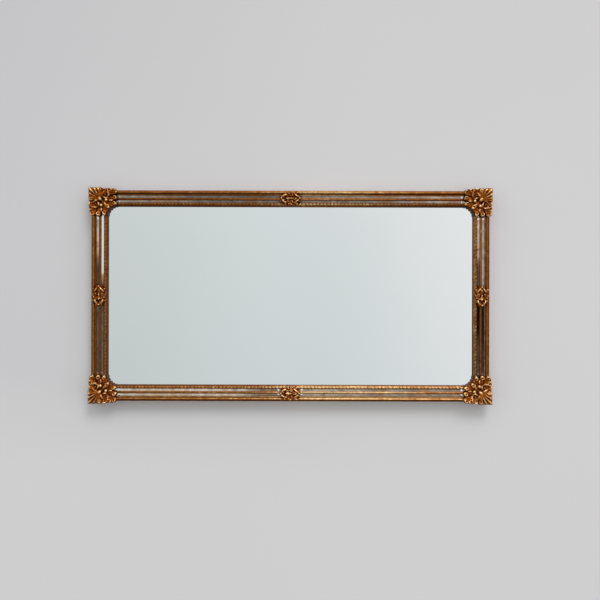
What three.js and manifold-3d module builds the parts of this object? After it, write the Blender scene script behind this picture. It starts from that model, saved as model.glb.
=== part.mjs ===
// A gilt overmantel mirror. Four mitred timber rails carry a large mirror plate in a rabbet.
// The face of each rail is a roll moulding, two bands of antiqued mirror strips either side of a
// half-round bead, and a rounded inner moulding. Cast ornaments cover the corners and the middle of
// each side, where the strips meet. The mirror hangs on two D-rings on the back, and rubber bumpers
// keep it off the wall.
//
// Millimetres. +X is right as seen from the front, +Y points back to the wall, +Z is up.
// The origin is the centre of the back panel's rear face.
import * as THREE from 'three';
import { mergeVertices } from 'three/addons/utils/BufferGeometryUtils.js';
import Module from 'manifold-3d';

const wasm = await Module();
wasm.setup();

// ---- Driving dimensions -------------------------------------------------------------------------

// The timber frame over its outer edges, without the ornaments, and its depth from back to roll.
const FRAME_WIDTH = 1346;
const FRAME_HEIGHT = 712;
const RAIL_DEPTH = 36;

// Bands across a rail's face, from the outer edge to the sight edge.
const OUTER_MOULDING = 15.9;
const STRIP_SIGHT = 8.8;
const CENTRE_BEAD = 8.6;
const INNER_MOULDING = 11.4;

// Heights of those bands above the rail's back face, and the sizes within them.
const ROLL_WIDTH = 13;
const ROLL_RISE = 7.5;
const BED_HEIGHT = 24;
const STRIP_THICKNESS = 3;
const BEAD_RISE = 3.2;
const BEAD_STEM = 2.4;
const CREST_HEIGHT = 31;
const CREST_WIDTH = 3;
const CREST_CHAMFER = 1.5;
const SIGHT_FILLET = 3;
const SIGHT_FILLET_HEIGHT = 24;
const LIP_HEIGHT = 22;

// The mirror plate, the rabbet that holds it and the back panel over it.
const RABBET_WIDTH = 10;
const RABBET_DEPTH = 14;
const PLATE_THICKNESS = 5;
const PLATE_CLEARANCE = 2;
const PANEL_THICKNESS = 4;
const PANEL_LAP = 10.5;

// Hardwood keys across the mitres.
const KEY_SIDE = 24;
const KEY_THICKNESS = 3;
const KEY_HEIGHT = 9;

// Corner ornaments: reach along each rail from the outer corner, overhang past the frame and rise
// above the roll. Then the shell's ribs, with their fan in radians, the lobes and the boss.
const ORNAMENT_REACH = 90;
const ORNAMENT_OVERHANG = 10;
const ORNAMENT_RISE = 12;
const SHELL_RIBS = 9;
const SHELL_SPREAD = 2.55;
const SHELL_RIB_WIDTH = 17;
const SHELL_RIB_ROOT = 8;
const SHELL_RIB_RISE = 8.6;
const LOBE_WIDTH = 18;
const LOBE_RISE = 9.6;
const LEAF_WIDTH = 14.4;
const LEAF_RISE = 10.8;
const BOSS_RADIUS = 15;

// The plate under the leaves, from its underside to its top, and the round of the sight corner.
const PLINTH_LOW = 27;
const PLINTH_HIGH = 38;
const SIGHT_RADIUS = 30;
const SIGHT_STEPS = 8;

// Cartouches in the middle of each side.
const CARTOUCHE_LENGTH = 71;
const CARTOUCHE_WIDTH = 48;
const CARTOUCHE_RISE = 7;
const CARTOUCHE_BED = 34;
const CARTOUCHE_BOSS = 9.2;

// Strap hangers, their D-rings and the bumpers.
const HANGER_HEIGHT = 190;
const STRAP_WIDTH = 16;
const STRAP_LENGTH = 64;
const STRAP_THICKNESS = 1.5;
const WIRE_RADIUS = 1.6;
const RING_WIDTH = 26;
const RING_DROP = 25;
const RING_CORNER = 3.5;
const RING_STEPS = 40;
const BUMPER_RADIUS = 9;
const BUMPER_THICKNESS = 7;
const BUMPER_INSET = 30;

// Screws: radius of shank and head, the length in the timber, and the slot.
const SCREW_SHANK = 1.8;
const SCREW_HEAD = 3.8;
const SCREW_RISE = 2.2;
const SCREW_LENGTH = 18;
const SCREW_SINKING = 0.2;
const SCREW_SIDES = 10;
const SLOT_WIDTH = 0.9;
const SLOT_DEPTH = 0.8;

// Gap left between neighbouring solids, each side of a mitre, and between a ring and its knuckle.
const GAP = 0.3;
const MITRE_GAP = 0.2;
const RING_CLEARANCE = 0.3;

// ---- Sizes that follow --------------------------------------------------------------------------

const CHANNEL_START = OUTER_MOULDING;
const CHANNEL_END = OUTER_MOULDING + 2 * STRIP_SIGHT + CENTRE_BEAD;
const BEAD_MIDDLE = (CHANNEL_START + CHANNEL_END) / 2;
const RAIL_WIDTH = CHANNEL_END + INNER_MOULDING;
const STRIP_TOP = BED_HEIGHT + STRIP_THICKNESS;
const RAIL_BACK = -PANEL_THICKNESS;
const SIGHT_FILLET_START = RAIL_WIDTH - SIGHT_FILLET;
const ROLL_SPRING = RAIL_DEPTH - ROLL_RISE;
const RABBET_START = RAIL_WIDTH - RABBET_WIDTH;
const PANEL_INSET = RABBET_START - PANEL_LAP;
const PANEL_SCREW_LENGTH = PANEL_THICKNESS + SCREW_LENGTH;
const OPENING_WIDTH = FRAME_WIDTH - 2 * RABBET_START;
const OPENING_HEIGHT = FRAME_HEIGHT - 2 * RABBET_START;

// Y of a height above the rails' back face.
const atHeight = (h) => RAIL_BACK - h;

// The rails in clockwise order from the front: each is the top rail turned by quarter turns about Y.
const SIDES = [
  { name: 'top', turn: 0, length: FRAME_WIDTH, reach: FRAME_HEIGHT / 2 },
  { name: 'right', turn: 1, length: FRAME_HEIGHT, reach: FRAME_WIDTH / 2 },
  { name: 'bottom', turn: 2, length: FRAME_WIDTH, reach: FRAME_HEIGHT / 2 },
  { name: 'left', turn: 3, length: FRAME_HEIGHT, reach: FRAME_WIDTH / 2 },
];
const CORNERS = [
  { name: 'top_left', turn: 0, x: -1, z: 1 },
  { name: 'top_right', turn: 1, x: 1, z: 1 },
  { name: 'bottom_right', turn: 2, x: 1, z: -1 },
  { name: 'bottom_left', turn: 3, x: -1, z: -1 },
];
const turnAngle = (turn) => (turn * Math.PI) / 2;

// ---- Materials ----------------------------------------------------------------------------------

const material = (color, roughness, metalness) => (
  new THREE.MeshStandardMaterial({ color, roughness, metalness })
);
const GILT = material(0xa87434, 0.38, 0.85);
const ANTIQUED_GLASS = material(0x9b8d80, 0.15, 0.9);
const SILVERED_GLASS = material(0xd2dadb, 0.03, 1);
const TIMBER = material(0xb99468, 0.75, 0);
const HARDWOOD = material(0x8a6238, 0.7, 0);
const HARDBOARD = material(0x6f4f35, 0.85, 0);
const STEEL = material(0xb8b8b4, 0.35, 1);
const BRASS = material(0xb58d45, 0.35, 1);
const RUBBER = material(0x2a2a2a, 0.8, 0);

// ---- Solids -------------------------------------------------------------------------------------

// A three.js geometry with its shared corners merged and the triangles that this flattens left out.
function welded(geometry) {
  const bare = geometry.clone();
  bare.deleteAttribute('normal');
  bare.deleteAttribute('uv');
  const merged = mergeVertices(bare, 1e-4);
  const corners = merged.index.array;
  const kept = [];
  for (let i = 0; i < corners.length; i += 3) {
    const [a, b, c] = corners.slice(i, i + 3);
    if (a !== b && b !== c && c !== a) kept.push(a, b, c);
  }
  merged.setIndex(kept);
  return merged;
}

// A closed three.js geometry as a manifold solid, and a manifold solid as a geometry.
function toSolid(geometry) {
  const merged = welded(geometry);
  return new wasm.Manifold(new wasm.Mesh({
    numProp: 3,
    vertProperties: merged.attributes.position.array,
    triVerts: new Uint32Array(merged.index.array),
  }));
}

function toGeometry(solid) {
  const { vertProperties, triVerts, numProp, numVert } = solid.getMesh();
  const positions = new Float32Array(numVert * 3);
  for (let i = 0; i < numVert; i++) {
    positions.set(vertProperties.subarray(i * numProp, i * numProp + 3), i * 3);
  }
  const geometry = new THREE.BufferGeometry();
  geometry.setAttribute('position', new THREE.BufferAttribute(positions, 3));
  geometry.setIndex(new THREE.BufferAttribute(triVerts, 1));
  geometry.computeVertexNormals();
  return geometry;
}

const joinAll = (solids) => solids.reduce((whole, next) => whole.add(next));
const cutAll = (solid, tools) => tools.reduce((left, tool) => left.subtract(tool), solid);

function named(name, geometry, look) {
  const mesh = new THREE.Mesh(geometry, look);
  mesh.name = name;
  return mesh;
}

// A box between two corners given as [x, y, z].
function boxBetween(low, high) {
  const size = high.map((value, axis) => value - low[axis]);
  const box = new THREE.BoxGeometry(...size);
  return box.translate(...high.map((value, axis) => (value + low[axis]) / 2));
}

// A cylinder along Y between two Y values.
function roundBar(radius, x, z, yLow, yHigh, segments) {
  const bar = new THREE.CylinderGeometry(radius, radius, yHigh - yLow, segments);
  return bar.translate(x, (yLow + yHigh) / 2, z);
}

// ---- Rail profile: u runs inwards from the outer edge, h forwards from the rail's back ----------

const ARC_SEGMENTS = 5;

// The centre bead's half-round cap, from its outer edge to its inner edge, standing on the strips.
function addBeadCap(path) {
  const half = CENTRE_BEAD / 2;
  path.lineTo(BEAD_MIDDLE - half, STRIP_TOP);
  path.absellipse(BEAD_MIDDLE, STRIP_TOP, half, BEAD_RISE, Math.PI, 0, true);
}

// The rail's section. Dressed, its channel is filled by the strips and the bead, as an ornament finds it.
function railShape(dressed) {
  const shape = new THREE.Shape();
  shape.moveTo(0, 0);
  shape.lineTo(0, ROLL_SPRING);
  shape.absellipse(ROLL_WIDTH / 2, ROLL_SPRING, ROLL_WIDTH / 2, ROLL_RISE, Math.PI, 0, true);
  shape.lineTo(CHANNEL_START, ROLL_SPRING);
  shape.lineTo(CHANNEL_START, dressed ? STRIP_TOP : BED_HEIGHT);
  if (dressed) addBeadCap(shape);
  shape.lineTo(CHANNEL_END, dressed ? STRIP_TOP : BED_HEIGHT);
  shape.lineTo(CHANNEL_END, CREST_HEIGHT - CREST_CHAMFER);
  shape.lineTo(CHANNEL_END + CREST_CHAMFER, CREST_HEIGHT);
  shape.lineTo(CHANNEL_END + CREST_WIDTH, CREST_HEIGHT);
  shape.quadraticCurveTo(SIGHT_FILLET_START, CREST_HEIGHT, SIGHT_FILLET_START, SIGHT_FILLET_HEIGHT);
  shape.lineTo(RAIL_WIDTH, LIP_HEIGHT);
  shape.lineTo(RAIL_WIDTH, RABBET_DEPTH);
  shape.lineTo(RABBET_START, RABBET_DEPTH);
  shape.lineTo(RABBET_START, 0);
  return shape;
}

// The bead's T-section: a stem between the strips and a cap over their edges.
function beadShape() {
  const stem = BEAD_STEM / 2;
  const half = CENTRE_BEAD / 2;
  const shape = new THREE.Shape();
  shape.moveTo(BEAD_MIDDLE - stem, BED_HEIGHT);
  shape.lineTo(BEAD_MIDDLE - stem, STRIP_TOP);
  shape.lineTo(BEAD_MIDDLE - half, STRIP_TOP);
  shape.absellipse(BEAD_MIDDLE, STRIP_TOP, half, BEAD_RISE, Math.PI, 0, true);
  shape.lineTo(BEAD_MIDDLE + stem, STRIP_TOP);
  shape.lineTo(BEAD_MIDDLE + stem, BED_HEIGHT);
  return shape;
}

// A closed outline moved outwards by a distance, corners mitred.
function grown(shape, distance) {
  const points = shape.extractPoints(ARC_SEGMENTS).shape;
  if (points[0].distanceTo(points[points.length - 1]) < 1e-6) points.pop();
  const outward = THREE.ShapeUtils.isClockWise(points) ? 1 : -1;
  const moved = points.map((point, i) => {
    const before = point.clone().sub(points[(i + points.length - 1) % points.length]).normalize();
    const after = points[(i + 1) % points.length].clone().sub(point).normalize();
    const sum = new THREE.Vector2(-before.y - after.y, before.x + after.x);
    const share = distance / (1 + before.dot(after));
    return point.clone().addScaledVector(sum, outward * share);
  });
  return new THREE.Shape(moved);
}

// A bar of the given section along the top rail, its ends mitred from the outer corners.
// Every point at u from the outer edge ends u short of the frame's corner.
function mitredBar(shape, length, reach, shortBy) {
  const bar = new THREE.ExtrudeGeometry(
    shape,
    { depth: 1, bevelEnabled: false, curveSegments: ARC_SEGMENTS },
  );
  const position = bar.attributes.position;
  for (let i = 0; i < position.count; i++) {
    const u = position.getX(i);
    const h = position.getY(i);
    const end = position.getZ(i) > 0.5 ? -1 : 1;
    position.setXYZ(i, end * (length / 2 - u - shortBy), atHeight(h), reach - u);
  }
  return bar;
}

// ---- Screws -------------------------------------------------------------------------------------

// A slotted screw along Y, the underside of its round head at the origin.
function roundHeadScrew(length) {
  const profile = new THREE.Shape();
  profile.moveTo(0, -length);
  profile.lineTo(SCREW_SHANK, SCREW_SHANK - length);
  profile.lineTo(SCREW_SHANK, 0);
  profile.lineTo(SCREW_HEAD, 0);
  profile.lineTo(SCREW_HEAD, SCREW_RISE / 3);
  profile.quadraticCurveTo(SCREW_HEAD, SCREW_RISE, 0, SCREW_RISE);
  return slotted(profile.getPoints(2), SCREW_RISE);
}

// A countersunk screw along Y, its flat head just under the face at Y 0.
// Grown by a margin it is its own hole, open at the face.
function countersunkProfile(length, margin) {
  const head = -SCREW_SINKING - margin;
  const neck = head + SCREW_SHANK - SCREW_HEAD;
  const mouth = margin > 0 ? [[SCREW_HEAD + margin, margin], [0, margin]] : [[0, head]];
  return [
    [0, -length - margin],
    [SCREW_SHANK + margin, SCREW_SHANK - length - margin],
    [SCREW_SHANK + margin, neck],
    [SCREW_HEAD + margin, head],
    ...mouth,
  ].map(([x, y]) => new THREE.Vector2(x, y));
}

function slotted(points, top) {
  const turned = toSolid(new THREE.LatheGeometry(points, SCREW_SIDES));
  const slot = boxBetween(
    [-SCREW_HEAD - 1, top - SLOT_DEPTH, -SLOT_WIDTH / 2],
    [SCREW_HEAD + 1, top + 1, SLOT_WIDTH / 2],
  );
  return toGeometry(turned.subtract(toSolid(slot)));
}

const strapScrewHole = ({ x, z }) => {
  const bottom = RAIL_BACK - SCREW_LENGTH - GAP;
  const top = RAIL_BACK + STRAP_THICKNESS + 1;
  return toSolid(roundBar(SCREW_SHANK + GAP, x, z, bottom, top, SCREW_SIDES));
};
const panelScrewHole = ({ x, z }) => toSolid(
  new THREE.LatheGeometry(countersunkProfile(PANEL_SCREW_LENGTH, GAP), SCREW_SIDES).translate(x, 0, z),
);

// Back panel screws: three along the top and bottom rails and one in the middle of each side rail.
const PANEL_SCREW_Z = FRAME_HEIGHT / 2 - (RABBET_START + PANEL_INSET) / 2;
const PANEL_SCREW_X = FRAME_WIDTH / 2 - (RABBET_START + PANEL_INSET) / 2;
const PANEL_SCREW_SPREAD = FRAME_WIDTH * 0.38;
const PANEL_SCREWS = [
  ...[-1, 0, 1].map((step) => ({ x: step * PANEL_SCREW_SPREAD, z: PANEL_SCREW_Z })),
  ...[-1, 0, 1].map((step) => ({ x: step * PANEL_SCREW_SPREAD, z: -PANEL_SCREW_Z })),
  { x: -PANEL_SCREW_X, z: 0 },
  { x: PANEL_SCREW_X, z: 0 },
];

// Strap hangers: a ring pivot at HANGER_HEIGHT and two screws in the strap below the ring's reach.
const KNUCKLE_BORE = WIRE_RADIUS + RING_CLEARANCE;
const KNUCKLE_RADIUS = KNUCKLE_BORE + STRAP_THICKNESS;
const PIVOT_Y = RAIL_BACK + STRAP_THICKNESS + KNUCKLE_BORE;
const HANGER_X = FRAME_WIDTH / 2 - PANEL_INSET / 2;
const STRAP_SCREW_DROPS = [
  RING_DROP + WIRE_RADIUS + SCREW_HEAD + 4,
  STRAP_LENGTH - SCREW_HEAD - 3,
];
const HANGERS = [
  { name: 'left', x: -HANGER_X },
  { name: 'right', x: HANGER_X },
];
const STRAP_SCREWS = HANGERS.flatMap(({ name, x }) => STRAP_SCREW_DROPS.map((drop, i) => (
  { name: `${name}_strap_screw_${i + 1}`, x, z: HANGER_HEIGHT - drop }
)));

// ---- Rails, keys, strips and beads --------------------------------------------------------------

// A mitre key at a corner of the frame, with a margin all round for its slot.
function keyGeometry(corner, margin) {
  const middle = RABBET_START / 2 + 1;
  const side = KEY_SIDE + 2 * margin;
  const key = new THREE.BoxGeometry(side, KEY_THICKNESS + 2 * margin, side).rotateY(Math.PI / 4);
  return key.translate(
    corner.x * (FRAME_WIDTH / 2 - middle),
    atHeight(KEY_HEIGHT + KEY_THICKNESS / 2),
    corner.z * (FRAME_HEIGHT / 2 - middle),
  );
}

function makeRails() {
  const tools = [
    ...CORNERS.map((corner) => toSolid(keyGeometry(corner, GAP))),
    ...PANEL_SCREWS.map(panelScrewHole),
    ...STRAP_SCREWS.map(strapScrewHole),
  ];
  return SIDES.map(({ name, turn, length, reach }) => {
    const blank = mitredBar(railShape(false), length, reach, MITRE_GAP).rotateY(turnAngle(turn));
    return named(`${name}_rail`, toGeometry(cutAll(toSolid(blank), tools)), GILT);
  });
}

const makeKeys = () => CORNERS.map((corner) => (
  named(`${corner.name}_mitre_key`, keyGeometry(corner, 0), HARDWOOD)
));

// Strips stop short of the crossing rail's channel and meet in the middle, under the centre ornament.
function makeStripsAndBead({ name, turn, length, reach }) {
  const side = new THREE.Group();
  side.rotation.y = turnAngle(turn);
  const stripWidth = STRIP_SIGHT + (CENTRE_BEAD - BEAD_STEM) / 2 - 2 * GAP;
  const stripLength = length / 2 - CHANNEL_END - 2 * GAP;
  const bands = [
    { band: 'outer', middle: CHANNEL_START + GAP + stripWidth / 2 },
    { band: 'inner', middle: CHANNEL_END - GAP - stripWidth / 2 },
  ];
  const depth = atHeight(BED_HEIGHT + STRIP_THICKNESS / 2);
  for (const { band, middle } of bands) {
    for (const half of [-1, 1]) {
      const box = new THREE.BoxGeometry(stripLength, STRIP_THICKNESS, stripWidth);
      const strip = named(`${name}_${band}_strip_${half < 0 ? 1 : 2}`, box, ANTIQUED_GLASS);
      strip.position.set(half * (stripLength / 2 + GAP), depth, reach - middle);
      side.add(strip);
    }
  }
  side.add(named(`${name}_centre_bead`, mitredBar(beadShape(), length, reach, MITRE_GAP), GILT));
  return side;
}

// ---- Mirror plate, retaining fillets and back panel ---------------------------------------------

function makeMirrorPlate() {
  const width = OPENING_WIDTH - 2 * PLATE_CLEARANCE;
  const height = OPENING_HEIGHT - 2 * PLATE_CLEARANCE;
  const sheet = new THREE.BoxGeometry(width, PLATE_THICKNESS, height);
  const plate = named('mirror_plate', sheet, SILVERED_GLASS);
  plate.position.y = atHeight(RABBET_DEPTH - PLATE_THICKNESS / 2);
  return plate;
}

// Timber fillets fill the rabbet behind the plate. The upright ones fit between the level ones.
function makeRetainingFillets() {
  const depth = RABBET_DEPTH - PLATE_THICKNESS;
  const width = RABBET_WIDTH - GAP;
  return SIDES.map(({ name, turn, reach }) => {
    const upright = turn % 2 === 1;
    const length = upright ? OPENING_HEIGHT - 2 * (width + 2 * GAP) : OPENING_WIDTH - 2 * GAP;
    const side = new THREE.Group();
    side.rotation.y = turnAngle(turn);
    const bar = new THREE.BoxGeometry(length, depth, width);
    const fillet = named(`${name}_retaining_fillet`, bar, TIMBER);
    fillet.position.set(0, atHeight(depth / 2), reach - RABBET_START - GAP - width / 2);
    side.add(fillet);
    return side;
  });
}

function makeBackPanel() {
  const width = FRAME_WIDTH - 2 * PANEL_INSET;
  const height = FRAME_HEIGHT - 2 * PANEL_INSET;
  const board = new THREE.BoxGeometry(width, PANEL_THICKNESS, height);
  board.translate(0, -PANEL_THICKNESS / 2, 0);
  const drilled = cutAll(toSolid(board), PANEL_SCREWS.map(panelScrewHole));
  return named('back_panel', toGeometry(drilled), HARDBOARD);
}

function makeScrews() {
  const panelScrew = slotted(countersunkProfile(PANEL_SCREW_LENGTH, 0), -SCREW_SINKING);
  const strapScrew = roundHeadScrew(SCREW_LENGTH + STRAP_THICKNESS);
  const place = (mesh, x, y, z) => {
    mesh.position.set(x, y, z);
    return mesh;
  };
  const strapFace = RAIL_BACK + STRAP_THICKNESS;
  return [
    ...PANEL_SCREWS.map(({ x, z }, i) => (
      place(named(`panel_screw_${i + 1}`, panelScrew, BRASS), x, 0, z)
    )),
    ...STRAP_SCREWS.map(({ name, x, z }) => (
      place(named(name, strapScrew, STEEL), x, strapFace, z)
    )),
  ];
}

// ---- Strap hangers and bumpers ------------------------------------------------------------------

// The strap's side view, with Z along the strap and Y out of the rail: a plate that rolls into a knuckle.
function strapSolid() {
  const rollStart = 0.75;
  const side = new THREE.Shape();
  side.moveTo(0, -STRAP_LENGTH);
  side.lineTo(STRAP_THICKNESS, -STRAP_LENGTH);
  side.lineTo(STRAP_THICKNESS, -KNUCKLE_RADIUS * rollStart);
  side.absarc(KNUCKLE_RADIUS, 0, KNUCKLE_RADIUS, -Math.asin(rollStart), Math.PI, false);
  const bore = new THREE.Path();
  bore.absarc(KNUCKLE_RADIUS, 0, KNUCKLE_BORE, 0, 2 * Math.PI, true);
  side.holes.push(bore);
  const strap = new THREE.ExtrudeGeometry(
    side,
    { depth: STRAP_WIDTH, bevelEnabled: false, curveSegments: 2 * ARC_SEGMENTS },
  );
  // The shape's x is the distance from the rail and its y runs up the strap.
  const turned = new THREE.Matrix4().makeBasis(
    new THREE.Vector3(0, 1, 0),
    new THREE.Vector3(0, 0, 1),
    new THREE.Vector3(1, 0, 0),
  );
  strap.applyMatrix4(turned).translate(-STRAP_WIDTH / 2, 0, 0);
  const holes = STRAP_SCREW_DROPS.map((drop) => (
    toSolid(roundBar(SCREW_SHANK + GAP, 0, -drop, -1, STRAP_THICKNESS + 1, SCREW_SIDES))
  ));
  return cutAll(toSolid(strap), holes);
}

// The ring's wire, hanging down: its ends butt inside the knuckle, and it runs out, round the bow and back.
function ringGeometry() {
  const half = RING_WIDTH / 2;
  const point = (x, z) => new THREE.Vector3(x, 0, -z);
  const line = (from, to) => new THREE.LineCurve3(from, to);
  const bend = (from, corner, to) => new THREE.QuadraticBezierCurve3(from, corner, to);
  const path = new THREE.CurvePath();
  path.add(line(point(GAP / 2, 0), point(half - RING_CORNER, 0)));
  path.add(bend(point(half - RING_CORNER, 0), point(half, 0), point(half, RING_CORNER)));
  path.add(line(point(half, RING_CORNER), point(half, RING_DROP / 2)));
  path.add(bend(point(half, RING_DROP / 2), point(half, RING_DROP), point(0, RING_DROP)));
  path.add(bend(point(0, RING_DROP), point(-half, RING_DROP), point(-half, RING_DROP / 2)));
  path.add(line(point(-half, RING_DROP / 2), point(-half, RING_CORNER)));
  path.add(bend(point(-half, RING_CORNER), point(-half, 0), point(RING_CORNER - half, 0)));
  path.add(line(point(RING_CORNER - half, 0), point(-GAP / 2, 0)));
  const section = new THREE.Shape();
  section.absarc(0, 0, WIRE_RADIUS, 0, 2 * Math.PI);
  const wire = { steps: RING_STEPS, extrudePath: path, bevelEnabled: false, curveSegments: 4 };
  return welded(new THREE.ExtrudeGeometry(section, wire));
}

function makeHangers() {
  const strap = toGeometry(strapSolid());
  const ring = ringGeometry();
  return HANGERS.map(({ name, x }) => {
    const hanger = new THREE.Group();
    hanger.position.set(x, RAIL_BACK, HANGER_HEIGHT);
    const wire = named(`${name}_hanging_ring`, ring, STEEL);
    wire.position.y = PIVOT_Y - RAIL_BACK;
    hanger.add(named(`${name}_hanger_strap`, strap, STEEL), wire);
    return hanger;
  });
}

function makeBumpers() {
  return [-1, 1].map((end) => {
    const x = end * (FRAME_WIDTH / 2 - BUMPER_INSET);
    const z = -(FRAME_HEIGHT / 2 - PANEL_INSET / 2);
    const pad = roundBar(BUMPER_RADIUS, x, z, RAIL_BACK, RAIL_BACK + BUMPER_THICKNESS, 24);
    return named(`${end < 0 ? 'left' : 'right'}_bumper`, pad, RUBBER);
  });
}

// ---- Ornaments ----------------------------------------------------------------------------------

// A leaf or rib lying on the face, six-sided with a ridge, and widest near its tip.
// root and tip are [x, z]. It swells by rise above and below baseHeight.
function leaf(root, tip, width, baseHeight, rise) {
  const across = tip[0] - root[0];
  const along = tip[1] - root[1];
  const profile = [[0, 0], [0.6, 0.3], [1, 0.68], [0.72, 0.92], [0, 1]];
  const sides = 6;
  const body = new THREE.LatheGeometry(profile.map(([r, t]) => new THREE.Vector2(r, t)), sides);
  const halfWidth = width / 2 / Math.cos(Math.PI / sides);
  body.scale(halfWidth, Math.hypot(across, along), rise).rotateX(-Math.PI / 2);
  body.rotateY(Math.atan2(-across, -along));
  return toSolid(body.translate(root[0], atHeight(baseHeight), root[1]));
}

// A round or oval button.
function button(at, radius, baseHeight, rise) {
  const ball = new THREE.SphereGeometry(1, 10, 6).scale(radius, rise, radius);
  return toSolid(ball.translate(at[0], atHeight(baseHeight), at[1]));
}

// A scroll: a ring with a button in its eye.
function volute(at, radius, baseHeight, rise) {
  const tube = radius * 0.36;
  const ring = new THREE.TorusGeometry(radius - tube, tube, 6, 12);
  ring.rotateX(Math.PI / 2).scale(1, rise / tube, 1);
  return toSolid(ring.translate(at[0], atHeight(baseHeight), at[1])).add(
    button(at, radius * 0.45, baseHeight, rise * 0.75),
  );
}

// A flat plate of the given outline, points [x, z], between two heights.
function slab(points, low, high) {
  const outline = new THREE.Shape(points.map(([x, z]) => new THREE.Vector2(x, z)));
  const plate = new THREE.ExtrudeGeometry(outline, { depth: high - low, bevelEnabled: false });
  return toSolid(plate.rotateX(Math.PI / 2).translate(0, atHeight(low), 0));
}

// What an ornament is fitted over: the dressed top and left rails and the plate's face, grown by
// the gap.
function seats() {
  const section = grown(railShape(true), GAP);
  const crossing = SIDES.filter(({ name }) => name === 'top' || name === 'left');
  const rails = crossing.map(({ turn, length, reach }) => (
    toSolid(mitredBar(section, length, reach, 0).rotateY(turnAngle(turn)))
  ));
  const face = atHeight(RABBET_DEPTH + GAP);
  const plate = boxBetween([-FRAME_WIDTH / 2, face, 0], [0, RAIL_BACK, FRAME_HEIGHT / 2]);
  return [...rails, toSolid(plate)];
}

// Joins an ornament's pieces, fits them over their seats and leaves out the crumbs this cuts off.
function fitted(pieces) {
  const bodies = cutAll(joinAll(pieces), seats()).decompose();
  return bodies.reduce((largest, body) => (body.volume() > largest.volume() ? body : largest));
}

// The top left ornament. Points are [a, b], the distances in from the left and top outer edges.
const fromCorner = (a, b) => [a - FRAME_WIDTH / 2, FRAME_HEIGHT / 2 - b];

// Shell: ribs fan out from the ornament's middle to a square outline.
function shellRibs(middle) {
  const halfSide = (ORNAMENT_REACH + ORNAMENT_OVERHANG) / 2;
  return Array.from({ length: SHELL_RIBS }, (_, i) => {
    const angle = Math.PI / 4 + (i / (SHELL_RIBS - 1) - 0.5) * SHELL_SPREAD;
    const cos = Math.cos(angle);
    const sin = Math.sin(angle);
    const reach = halfSide / Math.max(Math.abs(cos), Math.abs(sin));
    const root = fromCorner(middle - SHELL_RIB_ROOT * cos, middle - SHELL_RIB_ROOT * sin);
    const tip = fromCorner(middle - reach * cos, middle - reach * sin);
    return leaf(root, tip, SHELL_RIB_WIDTH, RAIL_DEPTH, SHELL_RIB_RISE);
  });
}

// Three lobes down each rail, over its roll, bead and inner moulding, and leaves to the sight corner.
function cornerLeaves(middle) {
  const sightTip = RAIL_WIDTH + SIGHT_RADIUS / 4;
  const inner = RAIL_WIDTH + SIGHT_RADIUS / 2;
  const lobe = { width: LOBE_WIDTH, base: RAIL_DEPTH - 2, rise: LOBE_RISE };
  const sight = { width: LEAF_WIDTH, base: RAIL_DEPTH - 6, rise: LEAF_RISE };
  const paired = [
    { root: [middle + 4, ROLL_WIDTH], tip: [ORNAMENT_REACH - 2, ROLL_WIDTH / 2 - 1], ...lobe },
    { root: [middle + 6, BEAD_MIDDLE], tip: [ORNAMENT_REACH, BEAD_MIDDLE], ...lobe },
    { root: [middle + 10, middle + 4], tip: [ORNAMENT_REACH - 3, RAIL_WIDTH - 6], ...lobe },
    { root: [middle + 8, middle + 4], tip: [inner, RAIL_WIDTH], ...sight },
  ];
  const ways = [fromCorner, (a, b) => fromCorner(b, a)];
  const centre = leaf(
    fromCorner(middle, middle),
    fromCorner(sightTip, sightTip),
    LOBE_WIDTH,
    RAIL_DEPTH - 4,
    LEAF_RISE,
  );
  return [centre, ...paired.flatMap(({ root, tip, width, base, rise }) => (
    ways.map((at) => leaf(at(...root), at(...tip), width, base, rise))
  ))];
}

// The plate under the leaves, and the spandrel that rounds the sight corner down to the plate.
function cornerPlinth() {
  const arm = ORNAMENT_REACH - SHELL_RIB_WIDTH / 2 - 4;
  const out = -ORNAMENT_OVERHANG / 2;
  const point = -ORNAMENT_OVERHANG + 1;
  const inner = RAIL_WIDTH - 4;
  const body = [
    [point, point], [BEAD_MIDDLE, out], [arm, out], [arm, inner], [RAIL_WIDTH, RAIL_WIDTH],
    [inner, arm], [out, arm], [out, BEAD_MIDDLE],
  ];
  const lip = RAIL_WIDTH - 1;
  const root = RAIL_WIDTH - 8;
  const end = RAIL_WIDTH + SIGHT_RADIUS;
  const arc = Array.from({ length: SIGHT_STEPS + 1 }, (_, i) => {
    const angle = (i / SIGHT_STEPS) * (Math.PI / 2);
    return [end - SIGHT_RADIUS * Math.sin(angle), end - SIGHT_RADIUS * Math.cos(angle)];
  });
  const spandrel = [[root, root], [end, lip], ...arc, [lip, end]];
  return [
    slab(body.map((at) => fromCorner(...at)), PLINTH_LOW, PLINTH_HIGH),
    slab(spandrel.map((at) => fromCorner(...at)), RABBET_DEPTH, PLINTH_LOW + 1),
  ];
}

// The whole corner ornament, with its frame corner at the origin.
function cornerOrnament() {
  const middle = (ORNAMENT_REACH - ORNAMENT_OVERHANG) / 2;
  const boss = volute(fromCorner(middle + 2, middle + 2), BOSS_RADIUS, RAIL_DEPTH, ORNAMENT_RISE);
  const pieces = [...shellRibs(middle), boss, ...cornerLeaves(middle), ...cornerPlinth()];
  return toGeometry(fitted(pieces)).translate(FRAME_WIDTH / 2, 0, -FRAME_HEIGHT / 2);
}

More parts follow.
